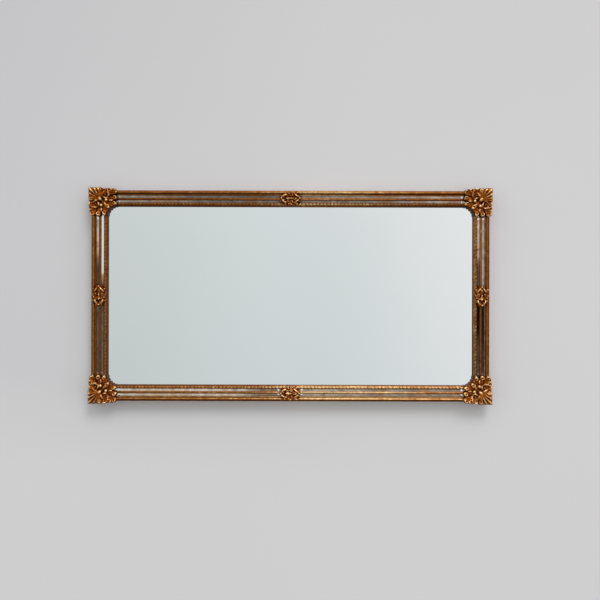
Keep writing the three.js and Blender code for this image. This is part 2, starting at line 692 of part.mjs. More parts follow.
// The top centre ornament: leaves round a boss, on a plate with its sides drawn in.
// Points are [s, t], shares of the half length along the rail and of the half width across it.
function cartouche() {
  const half = { along: CARTOUCHE_LENGTH / 2, across: CARTOUCHE_WIDTH / 2 };
  const reach = FRAME_HEIGHT / 2;
  const at = ([s, t]) => [s * half.along, reach - RAIL_WIDTH / 2 - t * half.across];
  const rise = RAIL_DEPTH + CARTOUCHE_RISE - CARTOUCHE_BED;
  const leaves = [-1, 1].flatMap((end) => [
    { root: [end * 0.2, 0], tip: [end, 0], width: LEAF_WIDTH },
    { root: [end * 0.1, 0.17], tip: [end * 0.82, 0.9], width: LEAF_WIDTH },
    { root: [end * 0.1, -0.17], tip: [end * 0.82, -0.9], width: LEAF_WIDTH },
    { root: [0, 0], tip: [0, end], width: LOBE_WIDTH },
  ]);
  const outline = [
    [-0.8, 0], [-0.66, -0.8], [0, -0.9], [0.66, -0.8], [0.8, 0], [0.66, 0.8], [0, 0.9], [-0.66, 0.8],
  ];
  return toGeometry(fitted([
    button(at([0, 0]), CARTOUCHE_BOSS, CARTOUCHE_BED, rise),
    ...leaves.map(({ root, tip, width }) => (
      leaf(at(root), at(tip), width, CARTOUCHE_BED - 1, rise - 1)
    )),
    slab(outline.map(at), STRIP_TOP, RAIL_DEPTH),
  ])).translate(0, 0, -reach);
}

function makeOrnaments() {
  const corner = cornerOrnament();
  const centre = cartouche();
  const placed = (mesh, x, z, turn) => {
    mesh.position.set(x, 0, z);
    mesh.rotation.y = turnAngle(turn);
    return mesh;
  };
  return [
    ...CORNERS.map(({ name, turn, x, z }) => {
      const mesh = named(`${name}_corner_ornament`, corner, GILT);
      return placed(mesh, (x * FRAME_WIDTH) / 2, (z * FRAME_HEIGHT) / 2, turn);
    }),
    ...SIDES.map(({ name, turn, reach }) => {
      const angle = turnAngle(turn);
      const mesh = named(`${name}_cartouche`, centre, GILT);
      return placed(mesh, reach * Math.sin(angle), reach * Math.cos(angle), turn);
    }),
  ];
}

// ---- Assembly -----------------------------------------------------------------------------------

const mirror = new THREE.Group();
mirror.add(
  ...makeRails(),
  ...makeKeys(),
  ...SIDES.map(makeStripsAndBead),
  makeMirrorPlate(),
  ...makeRetainingFillets(),
  makeBackPanel(),
  ...makeScrews(),
  ...makeHangers(),
  ...makeBumpers(),
  ...makeOrnaments(),
);

export default mirror;
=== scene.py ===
import math

import bpy
import numpy as np
from mathutils import Matrix, Vector


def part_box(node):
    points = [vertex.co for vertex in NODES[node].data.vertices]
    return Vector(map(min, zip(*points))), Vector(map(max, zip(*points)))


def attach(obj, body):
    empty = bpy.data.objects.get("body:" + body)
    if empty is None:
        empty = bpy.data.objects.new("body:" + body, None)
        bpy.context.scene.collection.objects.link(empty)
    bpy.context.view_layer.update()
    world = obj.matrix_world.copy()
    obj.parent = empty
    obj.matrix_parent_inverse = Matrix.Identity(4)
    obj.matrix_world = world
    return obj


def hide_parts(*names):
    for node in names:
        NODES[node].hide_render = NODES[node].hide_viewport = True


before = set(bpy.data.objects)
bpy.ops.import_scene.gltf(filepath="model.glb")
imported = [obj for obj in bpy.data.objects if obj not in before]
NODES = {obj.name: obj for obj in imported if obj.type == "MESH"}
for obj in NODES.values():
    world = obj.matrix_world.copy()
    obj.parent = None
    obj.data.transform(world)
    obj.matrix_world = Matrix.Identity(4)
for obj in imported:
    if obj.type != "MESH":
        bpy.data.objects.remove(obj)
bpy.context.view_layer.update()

MM = 0.001

# ---- Sizes, in millimetres, as in the CAD model ----

FRAME_WIDTH = 1346
FRAME_HEIGHT = 712
BACK = -4  # Y of the rails' back face
RING_CORNER = 3.5  # bend of a hanging ring beside its knuckle
MITRE_GAP = 0.2

ROLL_WIDTH = 13
ROLL_SPRING = 28.5
ROLL_TOP = 36
CHANNEL = (15.9, 42.1)
BED = 24
STRIP_TOP = 27
BEAD = (24.7, 33.3)
BEAD_MIDDLE = 29
BEAD_RISE = 3.2
BEAD_STEM = 1.2
CREST = 31
CREST_WIDTH = 3
CREST_CHAMFER = 1.5
SIGHT_FILLET_START = 50.5
SIGHT_FILLET_HEIGHT = 24
RAIL_WIDTH = 53.5
LIP_HEIGHT = 22
RABBET_START = 43.5
RABBET_DEPTH = 14
STEP = 0.01  # width of a step in a section, so that no two points share a place
RAIL_STATIONS = 25  # places along a rail or a bead at which its painted light and shade are set
BEAD_STATIONS = 61

LEAF_PITCH = 12  # spacing of the leaf tips along the inner moulding
LEAF_STEP = 1.6
LEAF_SLANT = 4  # how far a gap between tips runs sideways across the moulding

ORNAMENT_OVERHANG = 10
ORNAMENT_REACH = 90
ORNAMENT_TOP = 46.3
ORNAMENT_UNDERSIDE = 27.5
SHELL_ROOT = (33, 33)
SHELL_RIBS = 6
SHELL_RIB = 2.9  # half width of a rib
SHELL_SPREAD = 1.42
SIGHT_RADIUS = 30
CARTOUCHE_HALF = (35.5, 24)
CARTOUCHE_TOP = 43
CARTOUCHE_GROUND = 32  # top of the web between the leaves
CORNER_GROUND = 34.5
SPANDREL_TOP = 25
CARTOUCHE_CONTRAST = 0.085  # how much the toning and painted shade darken, and the rubbing and painted highlight lighten, with each millimetre
CORNER_CONTRAST = 0.13
UNDERSIDE_GAP = 0.3  # between a casting and the moulding under it
THINNEST = 0.4  # least thickness of a casting

STRIP_BEVEL = 0.7
BEVEL_SINK = 0.22  # share of a strip's thickness that its bevel takes off
WAVE_ROOM = 0.12  # how far a strip's uneven face lies under its CAD face

RELIEF_CELL = 0.6
SPINE_STEPS = 16
LEAST_HALF = 0.05
LEAF_LOBES = 2
LEAF_BROAD = 0.62  # share of a leaf's length at which it is widest
RIM = 3.2  # how far in from a casting's edge a painted shadow darkens it
GLINTS = (39, 50.5)  # how far in from a strip's middle and corner ends its painted glints sit
GLINT_HALF = 2.7

SIDES = {
    "top": (0, FRAME_WIDTH, FRAME_HEIGHT / 2),
    "right": (1, FRAME_HEIGHT, FRAME_WIDTH / 2),
    "bottom": (2, FRAME_WIDTH, FRAME_HEIGHT / 2),
    "left": (3, FRAME_HEIGHT, FRAME_WIDTH / 2),
}
CORNERS = {
    "top_left": (0, -1, 1),
    "top_right": (1, 1, 1),
    "bottom_right": (2, 1, -1),
    "bottom_left": (3, -1, -1),
}

# Painted light and shade on the gilding: (share of the side from its low end along X or Z, painted
# lightening, below 0 painted shade).
SIDE_PAINTED_LIGHT = {
    "top": ((0, -0.08), (0.38, -0.02), (0.55, 0.27), (0.68, 0.17), (0.82, -0.03), (1, -0.14)),
    "right": ((0, 0), (0.5, -0.02), (1, 0.04)),
    "bottom": ((0, -0.02), (0.4, 0.07), (0.55, 0.3), (0.75, 0.19), (1, 0.1)),
    "left": ((0, -0.05), (0.65, -0.06), (1, 0)),
}
BEAD_PAINTED_LIGHT = {
    "top": (
        (0, -0.14), (0.3, -0.12), (0.45, 0.04), (0.59, 0.2), (0.68, 0.1), (0.8, -0.08), (1, -0.2)
    ),
    "right": ((0, -0.06), (0.45, -0.07), (0.6, 0.12), (1, 0.24)),
    "bottom": (
        (0, 0), (0.26, 0.18), (0.41, 0.17), (0.52, 0.46), (0.74, 0.42), (0.85, 0.24), (1, 0.2)
    ),
    "left": ((0, -0.08), (1, -0.08)),
}
CARTOUCHE_PAINTED_LIGHT = {"top": 0.03, "right": 0.14, "bottom": 0.13, "left": 0.095}
CORNER_PAINTED_LIGHT = {"top_left": -0.04, "top_right": -0.01, "bottom_right": 0.09, "bottom_left": 0.02}
# How much lighter each side's sight edge is painted: a painted highlight.
SIGHT_PAINTED_LIGHT = {"top": 0, "right": 0.26, "bottom": 0, "left": 0}

# How far in from its middle a side's roll is painted lightest, as a painted highlight.
ROLL_SKEW = {"top": 0.8, "right": 2.4, "bottom": 3.0, "left": 1.0}

# How bright the silvering of both lengths of each band of antiqued strips is painted, its uneven
# ageing with painted reflection and shade: at the low end and the high end along X or Z, and the
# share of the length at which one turns into the other.
STRIP_TONES = {
    "top_outer": ((0.55, 0.27, 0.38), (0.50, 0.66, 0.60)),
    "top_inner": ((0.53, 0.31, 0.45), (0.38, 0.58, 0.60)),
    "bottom_outer": ((0.70, 0.54, 0.35), (1.08, 0.40, 0.77)),
    "bottom_inner": ((0.80, 0.58, 0.38), (1.20, 0.42, 0.77)),
    "left_outer": ((0.19, 0.21, 0.50), (0.15, 0.98, 0.42)),
    "left_inner": ((0.26, 0.24, 0.50), (0.35, 2.20, 0.25)),
    "right_outer": ((0.52, 0.66, 0.15), (0.09, 0.02, 0.45)),
    "right_inner": ((0.13, 0.80, 0.40), (0.11, 0.00, 0.55)),
}

# ---- Node helpers ----


class Nodes:
    """A material's or world's node tree, with short calls for the nodes used here."""

    def __init__(self, tree):
        self.tree = tree
        tree.nodes.clear()

    def add(self, kind, inputs=(), **settings):
        """A new node. Its inputs, by name or in order, are linked to sockets or set to values."""
        node = self.tree.nodes.new("ShaderNode" + kind)
        for key, value in settings.items():
            setattr(node, key, value)
        for key, value in inputs.items() if isinstance(inputs, dict) else enumerate(inputs):
            if isinstance(value, bpy.types.NodeSocket):
                self.tree.links.new(value, node.inputs[key])
            elif value is not None:
                node.inputs[key].default_value = value
        return node

    def coordinates(self, kind):
        return self.add("TexCoord").outputs[kind]

    def scaled(self, vector, scale):
        return self.add("Mapping", {"Vector": vector, "Scale": scale}).outputs["Vector"]

    def axes(self, vector):
        return self.add("SeparateXYZ", [vector]).outputs

    def noise(self, vector, scale, detail, roughness, distortion=0.0):
        inputs = {"Vector": vector, "Scale": scale, "Detail": detail}
        inputs |= {"Roughness": roughness, "Distortion": distortion}
        return self.add("TexNoise", inputs).outputs["Fac"]

    def spread(self, value, low, high, to_low=0.0, to_high=1.0):
        inputs = (value, low, high, to_low, to_high)
        return self.add("MapRange", inputs, clamp=True).outputs["Result"]

    def math(self, operation, a, b):
        return self.add("Math", (a, b), operation=operation).outputs[0]

    def mix(self, factor, a, b, blend="MIX"):
        inputs = {"Factor": factor, "A": a, "B": b}
        node = self.add("Mix", inputs, data_type="RGBA", blend_type=blend)
        return node.outputs["Result"]

    def times(self, a, b):
        return self.mix(1.0, a, b, "MULTIPLY")

    def attribute(self, name):
        return self.add("Attribute", attribute_name=name).outputs["Fac"]

    def bump(self, height, strength, distance):
        inputs = {"Strength": strength, "Distance": distance, "Height": height}
        return self.add("Bump", inputs).outputs["Normal"]

    def principled(self, color, roughness, metallic, normal=None, **extra):
        inputs = {"Base Color": color, "Roughness": roughness, "Metallic": metallic}
        inputs |= {"Normal": normal} | {k.replace("_", " "): extra[k] for k in extra}
        self.surface(self.add("BsdfPrincipled", inputs))

    def surface(self, shader, output="OutputMaterial"):
        self.add(output, {"Surface": shader.outputs[0]})


def rgb(r, g, b):
    """A linear colour from 0 to 255 display values."""

    def linear(value):
        c = value / 255
        return c / 12.92 if c <= 0.04045 else ((c + 0.055) / 1.055) ** 2.4

    return (linear(r), linear(g), linear(b), 1.0)


def grey(level):
    return (level, level, level, 1)


def new_material(name, recipe, *given):
    """A material whose nodes are laid out by a recipe over the object's coordinates."""
    material = bpy.data.materials.new(name)
    material.use_nodes = True
    nodes = Nodes(material.node_tree)
    recipe(nodes, nodes.coordinates("Object"), *given)
    return material


# ---- Materials ----


def gilt(n, where, gold, worn_and_highlight, toning_and_shade, grain, patchy):
    """Burnished gold leaf, by the relief attribute: toned and painted in shade in the hollows,
    rubbed and painted with highlights on the crests.
    """
    relief = n.attribute("relief")
    cloud = n.noise(where, 38, 5, 0.6)
    fine = n.noise(where, 420, 3, 0.6)
    patches = n.noise(where, 110, 3, 0.6)
    lightness = n.math("ADD", relief, n.spread(cloud, 0.3, 0.7, -0.1, 0.1))
    lightness = n.math("ADD", lightness, n.spread(patches, 0.3, 0.7, -patchy, patchy))
    depth = n.spread(lightness, 0.12, 0.5)
    height = n.spread(lightness, 0.58, 0.95)
    bole = n.mix(n.spread(n.noise(where, 95, 4, 0.7), 0.58, 0.7), gold, rgb(104, 42, 15))
    body = n.mix(n.spread(fine, 0.35, 0.75, 0.0, 0.35), bole, toning_and_shade)
    # Where the relief falls below 0, round the castings' rims and at the sight lip, the gold is
    # painted near black: a painted shadow.
    color = n.mix(depth, n.mix(n.spread(lightness, -0.22, 0.06), rgb(34, 18, 8), toning_and_shade), body)
    # Crests take the rubbed colour, which is also a painted highlight.
    color = n.mix(n.math("MULTIPLY", height, n.spread(fine, 0.3, 0.6, 0.5, 1.0)), color, worn_and_highlight)
    roughness = n.spread(n.math("ADD", fine, cloud), 0.7, 1.3, 0.0, 0.2)
    roughness = n.math("ADD", roughness, n.spread(depth, 0.0, 1.0, 0.5, 0.27))
    metallic = n.spread(depth, 0.0, 1.0, 0.84, 0.97)
    n.principled(color, roughness, metallic, n.bump(fine, grain, 0.0006))


def antiqued_glass(n, where):
    """Mirror strips with clouded silvering, brown foxing and dark edges, their tone painting
    ageing with painted reflection and shade.
    """
    tone = n.attribute("tone")
    edge = n.attribute("edge")
    cloud = n.noise(where, 30, 6, 0.65, 0.6)
    blots = n.noise(where, 120, 5, 0.7, 1.2)
    specks = n.noise(where, 700, 2, 0.5)
    silver = n.mix(n.spread(cloud, 0.35, 0.65), rgb(250, 248, 246), rgb(206, 200, 196))
    warm = [n.math("MULTIPLY", tone, warmth) for warmth in (1.0, 0.84, 0.72)]
    shaded = n.times(silver, n.add("CombineColor", warm).outputs[0])
    browned = n.spread(n.noise(where, 16, 4, 0.6), 0.45, 0.62, 0.0, 0.8)
    browned = n.math("MULTIPLY", browned, n.spread(tone, 0.9, 1.5, 1.0, 0.1))
    shaded = n.mix(browned, shaded, n.times(shaded, (1.0, 0.7, 0.48, 1)))
    fox = n.math("MAXIMUM", n.spread(blots, 0.54, 0.66), n.spread(specks, 0.64, 0.74))
    fox = n.math("MAXIMUM", fox, n.math("MULTIPLY", edge, n.spread(blots, 0.3, 0.52)))
    clouding = n.math("MULTIPLY", fox, n.spread(tone, 0.8, 1.3, 0.82, 0.2))
    color = n.mix(clouding, shaded, rgb(56, 36, 22))
    roughness = n.spread(n.math("ADD", fox, cloud), 0.4, 1.6, 0.10, 0.42)
    bare = n.math("MULTIPLY", clouding, n.spread(tone, 0.1, 0.3, 0.1, 1.0))
    metallic = n.spread(bare, 0.0, 1.0, 1.0, 0.5)
    normal = n.bump(cloud, 0.25, 0.0012)
    n.principled(color, roughness, metallic, normal, Coat_Weight=0.1, Coat_Roughness=0.05)


def silvered_glass(n, where):
    """The clear plate: an even silvering with the faintest green and a soft haze."""
    haze = n.noise(where, 2.2, 2, 0.4)
    dust = n.noise(where, 900, 2, 0.5)
    color = n.mix(n.spread(haze, 0.3, 0.7), rgb(249, 252, 251), rgb(252, 252, 253))
    roughness = n.spread(dust, 0.55, 0.8, 0.012, 0.035)
    n.principled(color, roughness, 1.0)


def planed_wood(n, where, light, dark, along, scale):
    """Planed wood with its grain along one axis."""
    stretch = [1.0, 1.0, 1.0]
    stretch["XYZ".index(along)] = 0.06
    grain = n.noise(n.scaled(where, stretch), scale, 6, 0.62, 0.8)
    pores = n.noise(n.scaled(where, stretch), scale * 7, 3, 0.6)
    stain = n.noise(where, 7, 4, 0.6)
    color = n.mix(n.spread(grain, 0.3, 0.72), light, dark)
    color = n.mix(n.spread(stain, 0.5, 0.75, 0.0, 0.3), color, rgb(96, 70, 44))
    roughness = n.spread(pores, 0.3, 0.7, 0.62, 0.85)
    n.principled(color, roughness, 0.0, n.bump(pores, 0.35, 0.0005))


def hardboard(n, where):
    """Smooth brown hardboard: pressed fibres, faint scuffs and water marks."""
    fibres = n.noise(where, 900, 4, 0.75)
    patches = n.noise(where, 5, 5, 0.6, 0.4)
    scuffs = n.noise(n.scaled(where, (1, 1, 0.12)), 60, 3, 0.7)
    color = n.mix(n.spread(fibres, 0.3, 0.7), rgb(112, 80, 52), rgb(138, 102, 70))
    color = n.mix(n.spread(patches, 0.5, 0.72, 0.0, 0.35), color, rgb(88, 62, 42))
    color = n.mix(n.spread(scuffs, 0.64, 0.75, 0.0, 0.3), color, rgb(164, 132, 100))
    roughness = n.spread(fibres, 0.3, 0.7, 0.6, 0.8)
    n.principled(color, roughness, 0.0, n.bump(fibres, 0.3, 0.0004))


def plain_metal(n, where, clean, dull, roughness):
    """Plated or turned metal with fine scratches and dull patches."""
    patches = n.noise(where, 90, 4, 0.6)
    scratches = n.noise(n.scaled(where, (1, 1, 9)), 500, 3, 0.6)
    color = n.mix(n.spread(patches, 0.4, 0.7), clean, dull)
    rough = n.spread(n.math("ADD", patches, scratches), 0.7, 1.3, roughness, roughness + 0.22)
    n.principled(color, rough, 1.0, n.bump(scratches, 0.15, 0.0003))


def rubber(n, where):
    dust = n.noise(where, 160, 4, 0.6)
    grit = n.noise(where, 1500, 2, 0.5)
    color = n.mix(n.spread(dust, 0.45, 0.75), rgb(38, 38, 39), rgb(74, 72, 70))
    n.principled(color, n.spread(dust, 0.3, 0.7, 0.6, 0.85), 0.0, n.bump(grit, 0.3, 0.0003))


def make_materials():
    """Each material by its slot's name, from its recipe and the recipe's colours and numbers."""
    pine = (rgb(205, 172, 128), rgb(160, 120, 78))
    # Each gold is the leaf, its rubbed crests with a painted highlight, and its toning with
    # painted shade.
    wood_gold = (rgb(154, 98, 45), rgb(244, 208, 150), rgb(100, 42, 1))
    casting_gold = (rgb(160, 90, 26), rgb(255, 214, 150), rgb(112, 46, 0))
    recipes = {
        "gilt_wood": (gilt, *wood_gold, 0.3, 0.13),
        "gilt_casting": (gilt, *casting_gold, 0.35, 0.19),
        "antiqued_glass": (antiqued_glass,),
        "silvered_glass": (silvered_glass,),
        "timber": (planed_wood, *pine, "X", 90),
        "upright_timber": (planed_wood, *pine, "Z", 90),
        "hardwood": (planed_wood, rgb(160, 112, 68), rgb(104, 66, 36), "X", 140),
        "hardboard": (hardboard,),
        "brass_screws": (plain_metal, rgb(214, 180, 110), rgb(150, 112, 60), 0.25),
        "zinc_steel": (plain_metal, rgb(205, 205, 202), rgb(150, 150, 146), 0.28),
        "rubber": (rubber,),
    }
    return {name: new_material(name, *recipe) for name, recipe in recipes.items()}


MATERIALS = make_materials()

# ---- Mesh helpers ----


def faces_inwards(points, faces):
    """Whether a mesh's faces mostly look towards its middle."""
    centred = points - points.mean(0)
    total = 0.0
    for count in {len(f) for f in faces}:
        corners = centred[np.array([f for f in faces if len(f) == count])]
        for i in range(1, count - 1):
            a, b, c = corners[:, 0], corners[:, i], corners[:, i + 1]
            total += np.einsum("ij,ij->", a, np.cross(b, c))
    return total < 0


def make_mesh(name, vertices, faces, smooth_angle=35):
    """A mesh from millimetre points, smooth except over sharp angles."""
    points = np.asarray(vertices, float) * MM
    if faces_inwards(points, faces):
        faces = [tuple(reversed(f)) for f in faces]
    mesh = bpy.data.meshes.new(name)
    mesh.from_pydata(points.tolist(), [], faces)
    mesh.update()
    mesh.shade_smooth()
    mesh.set_sharp_from_angle(angle=math.radians(smooth_angle))
    return mesh


def set_attribute(mesh, name, values):
    attribute = mesh.attributes.new(name=name, type="FLOAT", domain="POINT")
    attribute.data.foreach_set("value", np.asarray(values, np.float32))


def cad_corners(node):
    """The low and high corners of a CAD node's box, in millimetres."""
    return (np.array(corner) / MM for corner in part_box(node))


def add_object(name, data):
    thing = bpy.data.objects.new(name, data)
    bpy.context.scene.collection.objects.link(thing)
    return thing


def add_piece(name, mesh, slot, body, node, turn=0, at=(0, 0, 0)):
    """Puts a mesh in the scene, turned by quarter turns about Y, in place of a CAD node."""
    piece = add_object(name, mesh)
    if not mesh.materials:
        mesh.materials.append(MATERIALS[slot])
    piece.matrix_world = Matrix.Translation(Vector(at) * MM) @ Matrix.Rotation(
        turn * math.pi / 2, 4, "Y"
    )
    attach(piece, body)
    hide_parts(node)


def unit(value):
    return np.clip(value, 0, 1)


def bell(distance, width):
    return np.exp(-((distance / width) ** 2))


def dome(share):
    """The height of a round top at a share, or a power of a share, of the way to its edge."""
    return np.sqrt(unit(1 - share))


def arc(centre, radii, start, end, steps):
    """Points along an elliptical arc between two angles."""
    angles = np.linspace(start, end, steps + 1)
    return [
        (centre[0] + radii[0] * math.cos(a), centre[1] + radii[1] * math.sin(a)) for a in angles
    ]


def curve(start, bend, end, steps):
    """Points along a curve that leaves its start towards the bend and arrives from it."""
    start, bend, end = np.array(start), np.array(bend), np.array(end)
    t = np.linspace(0, 1, steps + 1)[:, None]
    return ((1 - t) ** 2 * start + 2 * t * (1 - t) * bend + t**2 * end).tolist()


def grid_faces(rows, columns, first=0):
    """Quads of a grid whose vertex i, j is first + i * columns + j."""
    corners = [first + i * columns + j for i in range(rows - 1) for j in range(columns - 1)]
    return [(k, k + 1, k + columns + 1, k + columns) for k in corners]


# ---- Rails and beads: u runs inwards from the outer edge, h forwards from the rail's back 


def roll_section():
    half = ROLL_WIDTH / 2
    return arc((half, ROLL_SPRING), (half, ROLL_TOP - ROLL_SPRING), math.pi, 0, 20)


def bead_cap():
    return arc((BEAD_MIDDLE, STRIP_TOP), ((BEAD[1] - BEAD[0]) / 2, BEAD_RISE), math.pi, 0, 12)


def sight_curve():
    """The inner moulding's fall from its crest to the sight fillet."""
    foot = (SIGHT_FILLET_START, SIGHT_FILLET_HEIGHT)
    return curve((CHANNEL[1] + CREST_WIDTH, CREST), (SIGHT_FILLET_START, CREST), foot, 10)


def rail_section(skew, lightness):
    """(u, h, relief) of the rail's face and of its sight edge, the sight edge painted lighter: a
    painted highlight.

    The roll is painted lightest at its crest, off its middle by skew, and darker at its edges:
    painted highlight and shade.
    """
    face = [(0, 0, 0.5), (0, RABBET_DEPTH, 0.45), (0, ROLL_SPRING - 2, 0.35)]
    crest = ROLL_WIDTH / 2 + skew
    foot = ROLL_WIDTH + skew / 2
    for u, h in roll_section():
        outer = (u / crest) ** (1 + 0.3 * skew)
        near = min(outer, (foot - u) / (foot - crest))
        # The roll's outer flank is painted in shade, more with a larger skew.
        shaded = 0.05 * skew * (1 - outer) if u < crest else 0
        face.append((u, h, 0.26 - 0.06 * skew + (0.42 + 0.04 * skew) * near - shaded))
    # The roll's foot is painted dark and the fillet beside it lighter, both lighter with a larger
    # skew: painted shade and highlight.
    face += [
        (ROLL_WIDTH + STEP, ROLL_SPRING, 0.1 * skew),
        (ROLL_WIDTH + 0.7, ROLL_SPRING, 0.36 + 0.08 * skew),
        (CHANNEL[0], ROLL_SPRING, 0.5 + 0.08 * skew),
        (CHANNEL[0], BED, 0.02),
        (CHANNEL[1], BED, 0.02),
        (CHANNEL[1], STRIP_TOP, 0.04),
    ]
    # The sight edge is painted lighter by the side's sight light, a painted highlight, and its lip
    # near black, a painted shadow.
    sight = [
        (SIGHT_FILLET_START, SIGHT_FILLET_HEIGHT, 0.1 + lightness),
        (SIGHT_FILLET_START + 1, SIGHT_FILLET_HEIGHT, 0.42 + lightness),
        (SIGHT_FILLET_START + 2, SIGHT_FILLET_HEIGHT - 1, 0.36 + lightness),
        (RAIL_WIDTH, LIP_HEIGHT, -0.12),
        (RAIL_WIDTH, RABBET_DEPTH, 0.0),
        (RABBET_START, RABBET_DEPTH, 0.3),
        (RABBET_START, 0, 0.5),
    ]
    return face, sight


def mitred(points, length, reach, shares):
    """Section points repeated at shares of the half length, so that both ends are mitred."""
    return [
        (share * (length / 2 - u - MITRE_GAP), BACK - h, reach - u)
        for share in shares
        for u, h in points
    ]


def leaf_band(length, reach, lightness):
    """The inner moulding's face: rounded leaf tips with hollows between them."""
    start, chamfer = CHANNEL[1], CREST - CREST_CHAMFER
    profile = [
        (start, STRIP_TOP),
        (start, chamfer - 0.6),
        (start + 0.35, chamfer + 0.5),
        (start + CREST_CHAMFER, CREST),
        (start + 2.5, CREST),
        *sight_curve(),
    ]
    u, h = np.array(profile).T[:, None, :]
    rows = int(round(length / LEAF_STEP)) + 1
    along = np.linspace(-1, 1, rows)[:, None] * (length / 2 - u - MITRE_GAP)
    across = unit((u - start) / (SIGHT_FILLET_START - start))
    phase = (along - LEAF_SLANT * across) / LEAF_PITCH
    gap = np.abs(phase - np.round(phase)) * LEAF_PITCH
    half_gap = 2.9 - 1.9 * across
    hollow = unit(1 - (gap / half_gap) ** 2) ** 0.9
    depth = np.minimum((1.7 - 0.9 * across) * hollow, 0.92 * np.clip(h - STRIP_TOP, 0, None))
    vertices = np.stack([along, BACK - h + depth, reach - np.broadcast_to(u, along.shape)], -1)
    # The face is painted dark in the hollows and lighter just beside them (toning with painted
    # shade and highlight), in painted shade along the strips' edge, and lighter towards the sight
    # by its painted light.
    relief = 0.54 - 0.36 * hollow + 0.1 * bell(gap - half_gap - 1.2, 1.3)
    relief = relief - 0.3 * unit(1 - across * 6) + (lightness - 0.12) * across**4
    return vertices.reshape(-1, 3).tolist(), relief.ravel().tolist(), rows, len(profile)


def painted_light_along(table, turn, along):
    """Painted light and shade at places along a side, from -0.5 to 0.5, as its table gives it from
    the low end.
    """
    shares, painted_light = zip(*table)
    return np.interp(0.5 - along if turn in (1, 2) else 0.5 + along, shares, painted_light)


def make_rail(name, turn, length, reach):
    """One rail: its gilded face, with the leaf band in it, then its bare back and mitred ends."""
    face, sight = rail_section(ROLL_SKEW[name], SIGHT_PAINTED_LIGHT[name])
    stations = np.linspace(-1, 1, RAIL_STATIONS)
    vertices, faces, relief = [], [], []

    def run(points, tone):
        faces.extend(grid_faces(len(stations), len(points), len(vertices)))
        vertices.extend(mitred(points, length, reach, stations))
        relief.extend(tone * len(stations))

    for section in (face, sight):
        run([p[:2] for p in section], [p[2] for p in section])
    band, band_relief, rows, columns = leaf_band(length, reach, SIGHT_PAINTED_LIGHT[name])
    faces += grid_faces(rows, columns, len(vertices))
    vertices += band
    relief += band_relief
    gilded = len(faces)
    run([(RABBET_START, 0), (0, 0)], [0.5, 0.5])
    chamfer = [(CHANNEL[1], CREST - CREST_CHAMFER), (CHANNEL[1] + CREST_CHAMFER, CREST)]
    outline = [*(p[:2] for p in face), *chamfer, *sight_curve(), *(p[:2] for p in sight)]
    for end in (-1, 1):
        ring = range(len(vertices), len(vertices) + len(outline))
        faces.append(tuple(ring)[::-end])
        vertices += mitred(outline, length, reach, (end,))
        relief += [0.3] * len(outline)
    mesh = make_mesh(f"{name}_rail_form", vertices, faces)
    # Then the side's painted light and shade along its length.
    painted_light = painted_light_along(SIDE_PAINTED_LIGHT[name], turn, np.array(vertices)[:, 0] / length)
    set_attribute(mesh, "relief", relief + painted_light)
    mesh.materials.append(MATERIALS["gilt_wood"])
    mesh.materials.append(MATERIALS["timber"])
    for polygon in mesh.polygons[gilded:]:
        polygon.material_index = 1
    add_piece(f"{name}_rail_moulding", mesh, "gilt_wood", "frame", f"{name}_rail", turn)


def make_bead(name, turn, length, reach):
    """A centre bead: a half-round cap over the strips' edges, on a stem between them."""
    left, right = BEAD_MIDDLE - BEAD_STEM, BEAD_MIDDLE + BEAD_STEM
    points = [(left, BED), (left, STRIP_TOP), *bead_cap(), (right, STRIP_TOP), (right, BED)]
    stations = np.linspace(-1, 1, BEAD_STATIONS)
    vertices = mitred(points, length, reach, stations)
    count = len(points)
    last = len(vertices) - count
    faces = grid_faces(len(stations), count)
    faces += [(i + count - 1, i, i + count, i + 2 * count - 1) for i in range(0, last, count)]
    faces += [tuple(range(count)), tuple(range(last, last + count))[::-1]]
    mesh = make_mesh(f"{name}_bead_form", vertices, faces)
    top = np.array([h for _, h in points])
    # The bead is painted lighter towards its top and dark on its stem, with painted highlight and
    # shade, then lighter or darker along its side by the side's painted light and shade.
    relief = 0.04 + 0.4 * unit((top - STRIP_TOP) / BEAD_RISE) ** 1.4
    painted_light = painted_light_along(BEAD_PAINTED_LIGHT[name], turn, np.array(vertices)[:, 0] / length)
    set_attribute(mesh, "relief", np.tile(relief, len(stations)) + painted_light)
    add_piece(f"{name}_bead", mesh, "gilt_wood", "frame", f"{name}_centre_bead", turn)


# ---- Antiqued strips ----


def glint_places(node, length):
    """Where a strip's painted glints go: near the middle of its side, then near its corner."""
    low_half = node.endswith("_1") == node.startswith(("top", "left"))
    middle, corner = GLINTS
    return (length - middle, corner) if low_half else (middle, length - corner)


def strip_stations(length, places):
    """Places along a strip with a row of points, closer together at its glints."""
    near_glints = [place + np.linspace(-10, 10, 21) for place in places]
    inner = np.sort(np.concatenate([np.linspace(6, length - 6, 70), *near_glints]))
    return np.concatenate([[0, 0, STRIP_BEVEL], inner, [length - STRIP_BEVEL, length, length]])


